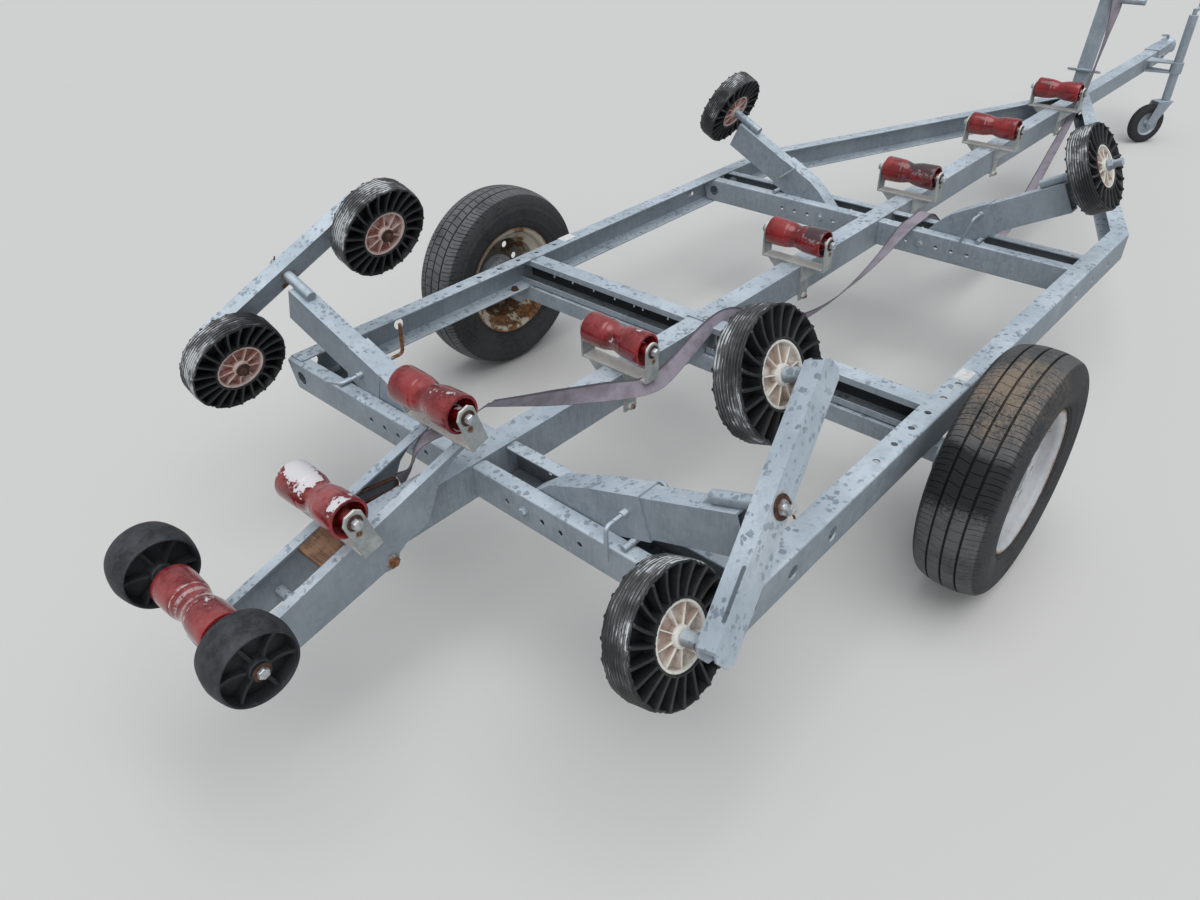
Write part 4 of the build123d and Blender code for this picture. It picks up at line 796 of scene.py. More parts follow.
# Snap link on the strap's tail: forged steel, rusted through its plating.
rusty = Finish("rusty_steel", Metallic=0.2, Roughness=0.85)
bloom = rusty.cloud(120.0, 5.0, 0.7)
shade = rusty.colours(rusty.step(bloom, 0.35, 0.65), (0.034, 0.017, 0.012), (0.105, 0.052, 0.032))
rusty.drive(Base_Color=shade, Normal=rusty.relief(bloom, 0.6, 0.001))
hook = eased_copy("strap_hook", rusty.material, 0.0028, rides=False)
axle_x - 0.90
axle_x - 0.95
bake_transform(hook)


# Coupling, post, winch frame and jockey leg: galvanised plate and tube, unseen in the photograph but for
# the post's foot.
plain_edges = {"coupling": 0.002, "winch_post": 0.004, "jockey_clamp": 0.0015}
plain_edges |= {"jockey_leg": 0.001, "jockey_fork": 0.0015}
for node, edge in plain_edges.items():
    eased_copy(node, zinc_steel, edge)
for node, edge in (("winch_frame", 0.0015), ("winch_drum", 0.001)):
    eased_copy(node, zinc_steel, edge)


# Hull wheels: black rubber moulded as a band on a thin web with a ring of fins each side, on a nine-spoked
# nylon hub. The band is ribbed round and torn, and scuffed white where hulls have dragged on it.
hull_radius, hull_half, band_inner, ring_out, ring_in, boss_out = 0.138, 0.038, 0.1235, 0.071, 0.0605, 0.022
bore = 0.01205


def band(count=180):
    """Closed section turned about the axle: the ribs are a sharpened cosine across the tread, and torn nicks
    along its shoulders are a product of sines of the turn; the sides slope in below the fins."""
    across = np.linspace(-0.0285, 0.0285, 65)
    ribs = hull_radius - 0.0021 * (0.5 + 0.5 * np.cos(across * 2 * np.pi / 0.0072)) ** 3
    side = [(hull_radius - 0.0012, 0.0308), (hull_radius - 0.0035, 0.0325), (hull_radius - 0.0055, 0.0325)]
    side += [(band_inner + 0.0040, 0.0250)]
    section = [(band_inner, -0.005), (band_inner, -0.0150)] + [(r, -h) for r, h in reversed(side)]
    section += list(zip(ribs, across)) + side + [(band_inner, 0.0150), (band_inner, 0.005)]
    grid = turned(section, count)
    turn = (np.arange(count) * 2 * np.pi / count)[:, None]
    r = np.hypot(grid[..., 0], grid[..., 1])
    h = grid[..., 2]
    torn = np.abs(np.sin(turn * 3 + 0.7) * np.sin(turn * 8 + 1.9))
    torn = torn * np.abs(np.sin(turn * 29 + h * 160)) ** 0.6
    shoulder = np.clip((np.abs(h) - 0.018) / 0.012, 0, 1) * (r > hull_radius - 0.009)
    flaked = np.clip(np.sin(turn * 2 + h * 90 + 2.2) * np.sin(turn * 13 + 0.4) - 0.35, 0, 1)
    flaked = flaked * (r > hull_radius - 0.003)
    grid[..., :2] *= (1 - 0.030 * shoulder * torn - 0.012 * flaked)[..., None]
    return grid


def swung(out, aside, high, turn):
    """Points given by how far out from the axle, aside and along it they lie, swung to a turn about it."""
    cos, sin = np.cos(turn), np.sin(turn)
    return np.stack([out * cos - aside * sin, out * sin + aside * cos, high], -1)


def fin(turn, lean, count=8):
    """One fin: a rounded bar section (a racetrack, thin and wide) carried outward from the hub ring to the
    band. It leans sideways, swells toward the band and ends in a shoulder past the band's sloped side."""
    out = np.concatenate([np.linspace(ring_out - 0.002, 0.1270, count - 2), [0.1325, 0.1346]])
    share = (out - out[0]) / (out[-1] - out[0])
    side = np.linspace(0, np.pi, 6)
    thick = 0.0034 + 0.0008 * share + 0.0012 * (1 - share) ** 6
    wide = 0.0350 + 0.0028 * share - 0.0020 * np.sin(share * np.pi)
    wide[-1] -= 0.0028
    round_bar = np.concatenate([side, side + np.pi])[None, :]
    core = np.where(np.arange(12) < 6, 1.0, -1.0)[None, :]
    x = np.cos(round_bar) * thick[:, None]
    z = np.sin(round_bar) * thick[:, None] + core * (wide - thick)[:, None]
    return swung(out[:, None], x, z, (turn + lean * (share - 0.5))[:, None])


def both_sides(half):
    """A closed section from its upper half: the half, then its mirror image below."""
    return half + [(r, -h) for r, h in reversed(half)]


def hub(count=96):
    """The nylon centre: a ring, a boss and a disc that rises a little to it, in one closed section."""
    half = [(bore, hull_half), (0.0165, hull_half), (boss_out - 0.0010, hull_half - 0.0015)]
    half += [(boss_out, hull_half - 0.004), (boss_out + 0.0005, 0.0175), (ring_in - 0.001, 0.0130)]
    half += [(ring_in, 0.0145), (ring_in + 0.0005, 0.0295), (ring_in + 0.0020, 0.0320)]
    half += [(ring_out - 0.0045, 0.0320), (ring_out - 0.0030, 0.0300)]
    return turned(both_sides(half), count)


def spoke(turn):
    """A spoke: a thin straight plate from boss to ring over the disc, a little lower toward the ring."""
    out = np.linspace(boss_out - 0.002, ring_in + 0.002, 5)
    wide = np.linspace(0.0315, 0.0275, 5)
    loop = [(-1.3, -1), (-0.9, -1.03), (0.9, -1.03), (1.3, -1)]
    x, z = np.array(loop + [(-a, -b) for a, b in loop]).T
    return swung(out[:, None], x[None, :] / 1000, z[None, :] * wide[:, None], turn)


rubber = Finish("fin_rubber", Roughness=0.6)
map_u, map_v = (rubber.axis(name, rubber.put("ShaderNodeTexCoord", {}, {}, "UV")) for name in ("X", "Y"))
strokes = rubber.put("ShaderNodeCombineXYZ", {}, {0: map_u * 22.0, 1: map_v * 46.0})
drag = rubber.cloud(1.0, 5.0, 0.7, strokes)
patch = rubber.cloud(9.0, 3.0, 0.6)
chip = rubber.cloud(48.0, 4.0, 0.7)
tread = rubber.step(map_v, 0.05, 0.08) * rubber.step(map_v, 0.90, 0.93, 1.0, 0.0)
phase = (map_v * 9.277 - 4.577) * (2 * math.pi)
groove = rubber.step(phase.maths("COSINE", phase), 0.30, 0.85) * tread
worn = rubber.step(drag * 0.45 + patch * 0.9, 0.57, 0.68) * tread * (1.0 - groove * 0.75)
scuff = rubber.step(drag * 0.50 + patch * 0.75 + chip * 0.25, 0.785, 0.815) * tread * (1.0 - groove * 0.5)
dust = rubber.step(rubber.cloud(60.0, 4.0, 0.7), 0.45, 0.75)
skin = rubber.colours(dust * 0.5, (0.0090, 0.0095, 0.0108), (0.030, 0.031, 0.034))
skin = rubber.colours(worn * (0.35 + 0.65 * rubber.step(drag, 0.35, 0.65)), skin, (0.135, 0.138, 0.140))
skin = rubber.colours(scuff, skin, (0.50, 0.52, 0.53))
# painted shade: the grooves between the tread's ribs are darkened
skin = rubber.colours(groove * 0.8, skin, (0.0065, 0.0068, 0.0075))
grain = rubber.relief(drag + rubber.cloud(220.0, 3.0), 0.35, 0.0012)
rubber.drive(Base_Color=skin, Roughness=0.50 + 0.30 * worn, Normal=grain)


def nylon(name, light, stain_and_shade_tone, centre, axis, amount):
    """Aged nylon: cream ring and spoke edges, brown stain and painted shade in the sunk disc between the
    spokes, darker toward the middle, rust round the pin.
    """
    cast = Finish(name, Roughness=0.45, Subsurface_Weight=0.1)
    far = cast.vector("DISTANCE", cast.coords, tuple(centre), 1)
    wash = cast.cloud(26.0, 4.0, 0.6)
    lifted = cast.vector("DOT_PRODUCT", cast.vector("SUBTRACT", cast.coords, tuple(centre)), tuple(axis), 1)
    sunk = cast.step(abs(lifted), 0.0265, 0.0295, 1.0, 0.0)
    # stain and painted shade: the sunk disc between the spokes is darkened, more toward the middle
    stain_and_shade = cast.step(wash + (0.060 - far) * 3.0, 0.30, 0.62) * (0.15 + 0.85 * sunk) * amount
    tone = cast.colours(stain_and_shade, light, stain_and_shade_tone)
    pinned = cast.step(far + wash * 0.02, 0.030, 0.044, 1.0, 0.0)
    tone = cast.colours(pinned * amount, tone, (0.20, 0.085, 0.035))
    specks = cast.step(cast.cloud(90.0, 4.0), 0.55, 0.75)
    tone = cast.colours(specks * 0.35, tone, (0.16, 0.13, 0.11))
    return cast.drive(Base_Color=tone, Normal=cast.relief(wash, 0.15, 0.001))


fins, spokes, lean = 22, 9, 0.11
# ring, stain with painted shade in the sunk disc, and how much of it
nylons = {"right": ((0.74, 0.72, 0.67), (0.34, 0.235, 0.185), 0.85)}
nylons |= {"left": ((0.66, 0.52, 0.48), (0.36, 0.13, 0.10), 0.90)}
for name in [joint["name"][:-5] for joint in frame["joints"] if "hull_wheel" in joint["name"]]:
    joint = spin[f"{name}_spin"]
    centre, axis = joint["pos_m"], joint["axis"]
    start = sum(map(ord, name)) * 0.7
    turns = [start + k * 2 * math.pi / fins for k in range(fins)]
    shapes = [net(placed(band(), centre, axis), (True, True), (0.87, 1.0))]
    inner, outer = ring_out - 0.004, band_inner + 0.001
    web = turned([(inner, -0.0045), (outer, -0.005), (outer, 0.005), (inner, 0.0045)], 72)
    lip = [(inner, 0.0310), (ring_out - 0.001, 0.0345), (ring_out + 0.0015, 0.0340)]
    lip += [(ring_out + 0.0025, 0.0310)]
    collar = turned([(r, -h) for r, h in lip] + lip[::-1], 72)
    shapes += [net(placed(part, centre, axis), (True, True), (0.0, 0.0)) for part in (web, collar)]
    bars = [placed(fin(turn, lean), centre, axis) for turn in turns]
    shapes += [net(bar, (False, True), (0.0, 0.0), caps=True) for bar in bars]
    wheel = made(f"{name}_rubber", shapes, rubber.material, joint["child"], 32.0)
    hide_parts(name)
    light, stain_and_shade_tone, amount = nylons[name.split("_")[0]]
    cream = nylon(f"{name}_nylon", light, stain_and_shade_tone, centre, axis, amount)
    plates = [placed(spoke(start + k * 2 * math.pi / spokes), centre, axis) for k in range(spokes)]
    shapes = [net(placed(hub(), centre, axis), (True, True))]
    shapes += [net(plate, (False, True), caps=True) for plate in plates]
    middle = made(f"{name}_hub", shapes, cream, joint["child"], 32.0)


# Keel rollers: red cast polyurethane, clear enough to glow at the edges, waisted for the keel, hollow at
# both ends round a steel sleeve. The rear ones are scuffed white by keels, two in the middle are worn dark.
def roller_form(half=0.102, count=96):
    """Closed section turned about the pin: barrel, rounded shoulders, a waist that rises as a cosine from
    its middle groove, and a deep hollow in each end round the sleeve."""
    along = np.linspace(-0.030, 0.030, 17)
    waist = 0.0365 + 0.0055 * (1 - np.cos(along / 0.030 * np.pi)) / 2
    left = [(0.01005, -half), (0.0165, -half), (0.0165, -half + 0.034), (0.0330, -half + 0.034)]
    left += [(0.0385, -half + 0.001), (0.0400, -half), (0.0430, -half), (0.0452, -half + 0.0015)]
    left += [(0.0460, -half + 0.0045), (0.0458, -half + 0.020), (0.0450, -half + 0.045)]
    left += [(0.0438, -half + 0.066), (0.0431, -half + 0.0705)]
    return turned(left + list(zip(waist, along)) + [(r, -h) for r, h in reversed(left)], count)


def urethane(name, centre, chalk, dark, ringed, seed):
    """Red urethane with chalky scuffs along the barrel, a film of dust and painted sheen on top faces, a dark
    worn patch to its right and rings at the waist, by the given amounts."""
    red = Finish(name, Coat_Weight=0.6, Coat_Roughness=0.10, Subsurface_Weight=0.10, Specular_IOR_Level=0.5)
    red.shader.inputs["Subsurface Radius"].default_value = (0.02, 0.002, 0.002)
    moved = red.vector("ADD", red.coords, (seed, seed * 0.37, -seed))
    large = red.cloud(15.0, 3.0, 0.55, moved)
    small = red.cloud(95.0, 4.0, 0.65, moved)
    up = red.step(red.facing(), 0.1, 0.95)
    along = red.axis("Y") - centre[1]
    tone = red.colours(red.step(large, 0.35, 0.65), (0.135, 0.0015, 0.003), (0.270, 0.005, 0.007))
    # dust and painted sheen: a pale film on top faces, stronger on chalky rollers
    dust_and_sheen = up * red.step(small * 0.6 + large, 0.62, 1.0) * (0.10 + chalk * 0.85)
    tone = red.colours(dust_and_sheen.maths("MINIMUM", dust_and_sheen, 0.85), tone, (0.36, 0.150, 0.145))
    if dark:
        limit = 0.90 - 0.30 * dark
        worn = red.step(large + small * 0.25 - along * 2.2, limit, limit + 0.07)
        worn = worn * red.step(red.facing(), 0.0, 0.6)
        rim = worn * red.step(worn, 0.75, 0.95, 1.0, 0.0) * red.step(small, 0.48, 0.54)
        tone = red.colours(worn * 0.9, tone, (0.040, 0.030, 0.034))
        tone = red.colours(rim * 0.8, tone, (0.42, 0.38, 0.38))
    limit = -0.045 - 0.190 * chalk
    white = red.step(small * 0.34 + up * 0.10 - large, limit, limit + 0.025) * min(1.0, chalk * 4.0)
    tone = red.colours(white, tone, (0.62, 0.60, 0.62))
    if ringed:
        ring = red.step(abs(abs(along) - 0.0285), 0.0008, 0.0022, 1.0, 0.0)
        ring = ring + red.step(abs(abs(along) - 0.012), 0.002, 0.006, 0.6, 0.0)
        tone = red.colours(ring * red.step(small + large * 0.4, 0.62, 0.74), tone, (0.52, 0.46, 0.46))
    rough, grain = 0.26 + 0.35 * white + 0.25 * dust_and_sheen, red.relief(small + large, 0.15, 0.001)
    return red.drive(Base_Color=tone, Roughness=rough, Normal=grain)


# chalk, dark wear, rings
wear = {
    "end_roller": (0.32, 0.0, 1.0),
    "keel_roller_2": (0.56, 0.0, 0.0),
    "keel_roller_3": (0.20, 0.12, 0.0),
    "keel_roller_4": (0.26, 0.0, 0.0),
    "keel_roller_5": (0.05, 0.62, 0.0),
    "keel_roller_6": (0.14, 1.0, 0.0),
    "keel_roller_7": (0.08, 0.0, 0.0),
    "keel_roller_8": (0.0, 0.0, 0.0),
}
for number, name in enumerate(roller_names):
    joint = spin[f"{name}_spin"]
    centre = joint["pos_m"]
    material = urethane(f"{name}_urethane", centre, *wear[name], 1.7 * number)
    barrel = net(placed(roller_form(), centre, (0, 1, 0)), (True, True))
    roller = made(f"{name}_barrel", [barrel], material, joint["child"], 40.0)
    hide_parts(name)


# Road tyres: 185 R 14 van tyres, three straight grooves round the crown and wavy cross cuts out over the
# shoulders. The right one has brown dust above and a wet patch below; the left one's cuts are wider.
tyre_radius, pitches = 0.325, 70
grooves = (-0.036, 0.0, 0.036)


def tyre_form(cut, shift):
    """Closed section carried round the axle in pitches. Each pitch has two cross cuts, half a pitch apart,
    given to the ribs in turn; every row is bent into a wave by the turn it is given at each column, and the
    cuts are rows sunk below the crown. The crown is a parabola, the walls a run of short straights, the
    beads close behind the rim."""
    half = cut / (2 * np.pi * tyre_radius / pitches)
    beats = np.array([-half, 0.0, half, 0.25, 0.5 - half, 0.5, 0.5 + half, 0.75])
    wall = [(0.180, 0.0640), (0.188, 0.0700), (0.1995, 0.0725), (0.2005, 0.0765), (0.206, 0.0775)]
    wall += [(0.2075, 0.0815), (0.224, 0.0885), (0.2250, 0.0893), (0.243, 0.0917), (0.2440, 0.0922)]
    wall += [(0.262, 0.0912), (0.2630, 0.0917), (0.279, 0.0882), (0.280, 0.0888), (0.289, 0.0862)]
    wall += [(0.2965, 0.0832), (0.3035, 0.0790), (0.3095, 0.0735), (0.3130, 0.0690)]
    crown = [0.0640, 0.0585, 0.0520, 0.0460]
    for g in grooves[::-1]:
        crown += [g + 0.0042, g + 0.0030, g + 0.0024, g, g - 0.0024, g - 0.0030, g - 0.0042]
        if g > grooves[0]:
            crown += [g - 0.012, g - 0.018, g - 0.024]
    crown += [-0.0460, -0.0520, -0.0585, -0.0640]
    crown = np.array(crown)
    tread = tyre_radius - 0.0100 * (np.abs(crown) / 0.064) ** 2.4
    left = np.array(wall)
    # the inside, from bead to bead
    inner_r = [0.184, 0.218, 0.262, 0.300, 0.310, 0.310, 0.300, 0.262, 0.218, 0.184]
    inner_h = [-0.058, -0.074, -0.080, -0.066, -0.040, 0.040, 0.066, 0.080, 0.074, 0.058]
    r = np.r_[left[:, 0], tread, left[::-1, 0], inner_r]
    h = np.r_[left[:, 1], crown, -left[::-1, 1], inner_h]
    outside = np.arange(len(r)) < len(r) - len(inner_r)
    near_groove = np.min(np.abs(h[:, None] - np.array(grooves)[None, :]), axis=1)
    sunk = outside & (near_groove < 0.0027) & (r > 0.3)
    r = r - 0.0085 * sunk
    beat = (np.arange(pitches)[:, None] + beats[None, :]).ravel()
    sweep = 0.31 * np.clip(np.abs(h) - 0.040, 0, 1) ** 2 / 0.0022
    wave = 0.17 * np.sin(h / 0.021 + 0.9) + sweep + shift * np.sign(h)
    angle = (beat[:, None] + wave[None, :] * (r > 0.285)[None, :]) * 2 * np.pi / pitches
    rib = np.searchsorted(np.array(grooves), h)
    which = np.where(rib % 2 == 0, 1, 5)
    beat_number = np.tile(np.arange(8), pitches)[:, None]
    on_rib = outside & ~sunk & (r > 0.2965) & (near_groove > 0.0036)
    on_shoulder = outside & (np.abs(h) > 0.047) & (r > 0.300)
    is_cut = (beat_number == which[None, :]) & on_rib[None, :]
    is_fine = (beat_number == (which[None, :] + 4) % 8) & on_shoulder[None, :]
    ragged = 0.00045 * np.sin(beat * 2 * np.pi * 2)[:, None] * (near_groove < 0.0045)[None, :]
    radius = r[None, :] - 0.0052 * is_cut - 0.0022 * is_fine
    return np.stack([radius * np.cos(angle), radius * np.sin(angle), h[None, :] + ragged + 0 * radius], -1)


def tyre_rubber(name, brown=False, centre=None):
    """Weathered black rubber, its grooves dark, road dust on the crown; brown dust and a wet patch."""
    tyre = Finish(name, Roughness=0.8, Specular_IOR_Level=0.35)
    fine = tyre.cloud(150.0, 4.0, 0.7)
    broad = tyre.cloud(9.0, 4.0, 0.6)
    height = tyre.axis("Z")
    skin = tyre.colours(tyre.step(fine, 0.3, 0.75), (0.0125, 0.0130, 0.0145), (0.040, 0.041, 0.044))
    if centre is None:
        return tyre.drive(Base_Color=skin, Normal=tyre.relief(fine, 0.3, 0.001))
    back, aside = tyre.axis("X") - centre[0], tyre.axis("Y") - centre[1]
    above = height - centre[2]
    reach = (back * back + above * above) ** 0.5
    crown = tyre_radius - 0.0100 * (abs(aside) / 0.064) ** 2.4
    worn = tyre.step(crown - reach, 0.0006, 0.0022, 1.0, 0.0) * tyre.step(reach, 0.302, 0.309)
    grey = tyre.step(broad + fine * 0.35, 0.42, 0.78)
    crown_dust = (0.115, 0.116, 0.118) if brown else (0.150, 0.150, 0.155)
    skin = tyre.colours(worn * (0.30 + 0.55 * grey), skin, crown_dust)
    skin = tyre.colours((1.0 - worn) * grey * 0.35, skin, (0.075, 0.075, 0.076))
    if brown:
        lag = back.maths("ARCTAN2", back * -1.0, above) + (broad - 0.5) * 0.30
        upper = tyre.step(lag, -0.10, 0.18) * tyre.step(lag, 0.68, 0.88, 1.0, 0.0)
        patch = tyre.step(broad * 0.7 + fine * 0.7 - abs(aside) * 2.2, 0.52, 0.76) * upper
        skin = tyre.colours(patch * (0.30 + 0.60 * worn), skin, (0.235, 0.178, 0.130))
        soak = tyre.step(lag, 0.86, 0.94) * tyre.step(lag + fine * 0.3, 1.42, 1.62, 1.0, 0.0)
        soak = soak * tyre.step(abs(aside), 0.070, 0.086, 1.0, 0.0)
        skin = tyre.colours(soak * 0.92, skin, (0.0042, 0.0042, 0.0048))
        return tyre.drive(Base_Color=skin, Roughness=0.82 - 0.12 * soak, Normal=tyre.relief(fine, 0.3, 0.001))
    return tyre.drive(Base_Color=skin, Normal=tyre.relief(fine, 0.3, 0.001))


for side, cut, shift in (("right", 0.0009, 0.0), ("left", 0.0016, 0.25)):
    joint = spin[f"{side}_wheel_spin"]
    out = -1.0 if side == "right" else 1.0
    grid = placed(tyre_form(cut, shift), joint["pos_m"], (0, out, 0))
    rubber_of = tyre_rubber(f"{side}_tyre_rubber", side == "right", joint["pos_m"])
    tyre = made(f"{side}_tyre_carcass", [net(grid, (True, True))], rubber_of, joint["child"], 30.0)
    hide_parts(f"{side}_tyre")


# Steel wheels: a rolled rim with a pressed disc welded in its well, ten vents, five nuts and the hub's cap.
# The right one is painted silver, rusting at the lip; the left one's cream paint has rusted through.
def rim_section():
    """Closed section of the rolled rim: lip, bead seat, well, bead seat, lip, and back along the inside."""
    face = [(0.1950, -0.0705), (0.1925, -0.0718), (0.1885, -0.0695), (0.1835, -0.0665), (0.1795, -0.0625)]
    face += [(0.1785, -0.0560), (0.1780, -0.0440), (0.1755, -0.0400), (0.1560, -0.0310), (0.1520, -0.0270)]
    face += [(0.1515, 0.0100), (0.1550, 0.0145), (0.1760, 0.0260), (0.1780, 0.0300), (0.1785, 0.0560)]
    face += [(0.1795, 0.0625), (0.1835, 0.0665), (0.1885, 0.0695), (0.1925, 0.0718), (0.1950, 0.0705)]
    back = [(0.1948, 0.0738), (0.1920, 0.0752), (0.1870, 0.0735), (0.1800, 0.0695), (0.1752, 0.0640)]
    back += [(0.1740, 0.0580), (0.1738, 0.0330), (0.1720, 0.0300), (0.1520, 0.0195), (0.1475, 0.0130)]
    back += [(0.1472, -0.0290), (0.1530, -0.0350), (0.1715, -0.0440), (0.1738, -0.0480), (0.1742, -0.0580)]
    back += [(0.1752, -0.0640), (0.1800, -0.0695), (0.1870, -0.0735), (0.1920, -0.0752), (0.1948, -0.0738)]
    return turned(face + back, 128)


def disc_form():
    """Pressed disc as a flat sheet with holes, its rows radii and its columns arc lengths at the vents'
    circle, bent round and dished by straights between five radii."""
    vent_circle = 0.112
    vents = [(k + 0.5) * np.pi / 5 for k in range(10)]
    radii = np.array([0.0345, 0.044, 0.068, 0.078, 0.088, 0.0975, 0.1265, 0.134, 0.142, 0.1500])
    beside = [turn + side * 0.128 for turn in vents for side in (-1, 1)]
    arcs = sorted(beside + [k * np.pi / 5 for k in range(11)])
    holes = [(vent_circle, turn * vent_circle, 0.012) for turn in vents]
    flat, faces = drilled(radii, np.array(arcs) * vent_circle, holes, 24)
    r, turn = flat[:, 0], flat[:, 1] / vent_circle
    dish_radii = (0.0345, 0.068, 0.088, 0.0975, 0.1265, 0.134, 0.1500)
    h = np.interp(r, dish_radii, (0.0300, 0.0300, 0.0420, 0.0440, 0.0440, 0.0380, 0.0150))
    h = h + 0.0015 * np.cos(turn * 5) * np.clip(1 - np.abs(r - 0.056) / 0.02, 0, 1)
    points = np.stack([r * np.cos(turn), r * np.sin(turn), h], -1)
    return points, faces, np.vstack([flat[face] for face in faces])


def painted(name, paint, rust_amount, inside):
    """Rim paint with rust along the lips and, where it has given way, over the barrel in runs."""
    rim = Finish(name, Roughness=0.42, Specular_IOR_Level=0.45)
    centre = spin[f"{name.split('_')[0]}_wheel_spin"]["pos_m"]
    flat = rim.vector("MULTIPLY", rim.vector("SUBTRACT", rim.coords, tuple(centre)), (1.0, 0.0, 1.0))
    reach = rim.vector("LENGTH", flat, (0.0, 0.0, 0.0), 1)
    fine, broad = rim.cloud(110.0, 5.0, 0.7), rim.cloud(13.0, 5.0, 0.65)
    lip = rim.step(reach + broad * 0.020, 0.1945, 0.2020)
    low = rim.step(rim.axis("Z"), 0.20, 0.42, 1.0, 0.0)
    eaten = rim.step(broad + fine * 0.25 + low * 0.10, 0.86 - rust_amount, 0.90 - rust_amount)
    rust = lip.maths("MAXIMUM", lip * 0.85, eaten)
    brown = rim.colours(rim.step(fine, 0.35, 0.65), (0.085, 0.034, 0.016), (0.30, 0.150, 0.060))
    skin = rim.colours(rim.step(broad, 0.4, 0.6) * 0.5, paint, tuple(c * 0.72 for c in paint))
    skin = rim.colours(rust, skin, brown)
    dark = rim.step(reach, 0.138, 0.150, 1.0, 0.0) * inside
    skin = rim.colours(dark * 0.82, skin, (0.030, 0.018, 0.012))
    return rim.drive(Base_Color=skin, Roughness=0.42 + 0.4 * rust, Normal=rim.relief(fine, 0.35, 0.001))


# paint, how much of it has rusted, and how dark the inside is
rims = {"right": ((0.48, 0.49, 0.51), 0.05, 0.0), "left": ((0.58, 0.53, 0.43), 0.185, 0.92)}
for side, (paint, amount, inside) in rims.items():
    joint = spin[f"{side}_wheel_spin"]
    out = -1.0 if side == "right" else 1.0
    centre, axis, body = joint["pos_m"], (0, out, 0), joint["child"]
    coat = painted(f"{side}_rim_paint", paint, amount, inside)
    rolled = net(placed(rim_section(), centre, axis), (True, True))
    barrel = made(f"{side}_rim_barrel", [rolled], coat, body, 35.0)
    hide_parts(f"{side}_rim")
    points, faces, places = disc_form()
    pressed = (placed(points, centre, axis), faces, places)
    disc = made(f"{side}_rim_disc", [pressed], coat, body, 35.0, 0.0, 0.004)
    nose = [(0.0202, -0.118), (0.044, -0.118), (0.052, -0.110), (0.052, -0.020), (0.060, 0.004)]
    nose += [(0.074, 0.006), (0.075, 0.010), (0.075, 0.0255), (0.0335, 0.0255), (0.0330, 0.0500)]
    nose += [(0.0300, 0.0515), (0.0202, 0.0515)]
    nets = [net(placed(turned(nose, 64), centre, axis), (True, True))]
    for k in range(5):
        turn = k * 2 * np.pi / 5 + 0.3
        spot = np.array([0.056 * np.cos(turn), 0.056 * np.sin(turn), 0.0305])
        nets += bolt_head(placed(spot, centre, axis), axis, 0.019, 0.015, 0.0125, turn)
    hub_metal = galvanised(f"{side}_hub_zinc", [(centre[0], centre[1] - out * 0.06, centre[2], 0.11)], 0.3)
    hub_piece = made(f"{side}_wheel_hub", nets, hub_metal, body, 32.0)


# End wheels: dark grey moulded plastic, hollow both sides round a web with six ribs, dusty all over.
def end_wheel_form():
    """Closed section: crowned tread, rounded rims, hollow sides down to the web, and the pin's boss."""
    side_up = [(0.0101, 0.043), (0.0205, 0.043), (0.0220, 0.0415), (0.0245, 0.020), (0.0705, 0.0130)]
    side_up += [(0.0735, 0.0400), (0.0745, 0.0424), (0.0755, 0.0430), (0.0772, 0.0428), (0.0786, 0.0414)]
    side_up += [(0.0806, 0.0350), (0.0832, 0.0230), (0.0850, 0.0110), (0.0860, 0.0)]
    return turned(side_up + [(r, -h) for r, h in reversed(side_up[:-1])], 96)


def plate_rib(turn, inner, outer, thick, low, high, dish):
    """A radial plate between two radii: its free edge dips by a sine between its ends."""
    share = np.linspace(0, 1, 6)
    out = inner + (outer - inner) * share
    top = high - dish * np.sin(share * np.pi)
    loop = [(-1, low, 0), (1, low, 0), (0.8, 0, 1), (-0.8, 0, 1)]
    aside, foot, free = np.array(loop, float).T[:, None, :]
    high_at = foot + free * top[:, None]
    return swung(out[:, None], aside * thick / 2 * np.ones((6, 1)), high_at, turn)


plastic = Finish("dusty_plastic", Roughness=0.62)
powder = plastic.cloud(38.0, 5.0, 0.65)
tone = plastic.colours(plastic.step(powder, 0.35, 0.65), (0.010, 0.0115, 0.0145), (0.022, 0.0245, 0.030))
chips = plastic.step(plastic.cloud(140.0, 3.0, 0.7), 0.58, 0.78)
tone = plastic.colours(chips * 0.5, tone, (0.12, 0.125, 0.13))
settled = plastic.step(plastic.facing(), 0.3, 0.95) * plastic.step(powder, 0.3, 0.7)
tone = plastic.colours(settled * 0.38, tone, (0.075, 0.080, 0.088))
middle = spin["left_end_wheel_spin"]["pos_m"]
beside = abs(abs(plastic.axis("Y")) - abs(middle[1]))
# painted shade: the hollow in each side, inside the rim, is darkened
hollow_shade = plastic.step(beside, 0.0335, 0.0385, 1.0, 0.0)
ahead_of, above = plastic.axis("X") - middle[0], plastic.axis("Z") - middle[2]
spread = ahead_of * ahead_of + above * above
hollow_shade = hollow_shade * plastic.step(spread, 0.0725 ** 2, 0.0745 ** 2, 1.0, 0.0)
tone = plastic.colours(hollow_shade * 0.6, tone, (0.006, 0.0065, 0.0075))
plastic.drive(Base_Color=tone, Normal=plastic.relief(powder, 0.2, 0.001))
for side in ("left", "right"):
    joint = spin[f"{side}_end_wheel_spin"]
    centre, axis = joint["pos_m"], joint["axis"]
    nets = [net(placed(end_wheel_form(), centre, axis), (True, True))]
    for k in range(6):
        for way in (-1, 1):
            rib = plate_rib(k * np.pi / 3 + 0.2, 0.0215, 0.0725, 0.0090, 0.0120, 0.0350, 0.005)
            rib[..., 2] *= way
            nets.append(net(placed(rib, centre, axis), (False, True), caps=True))
    wheel = made(f"{side}_end_wheel_moulding", nets, plastic.material, joint["child"], 35.0)
    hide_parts(f"{side}_end_wheel")


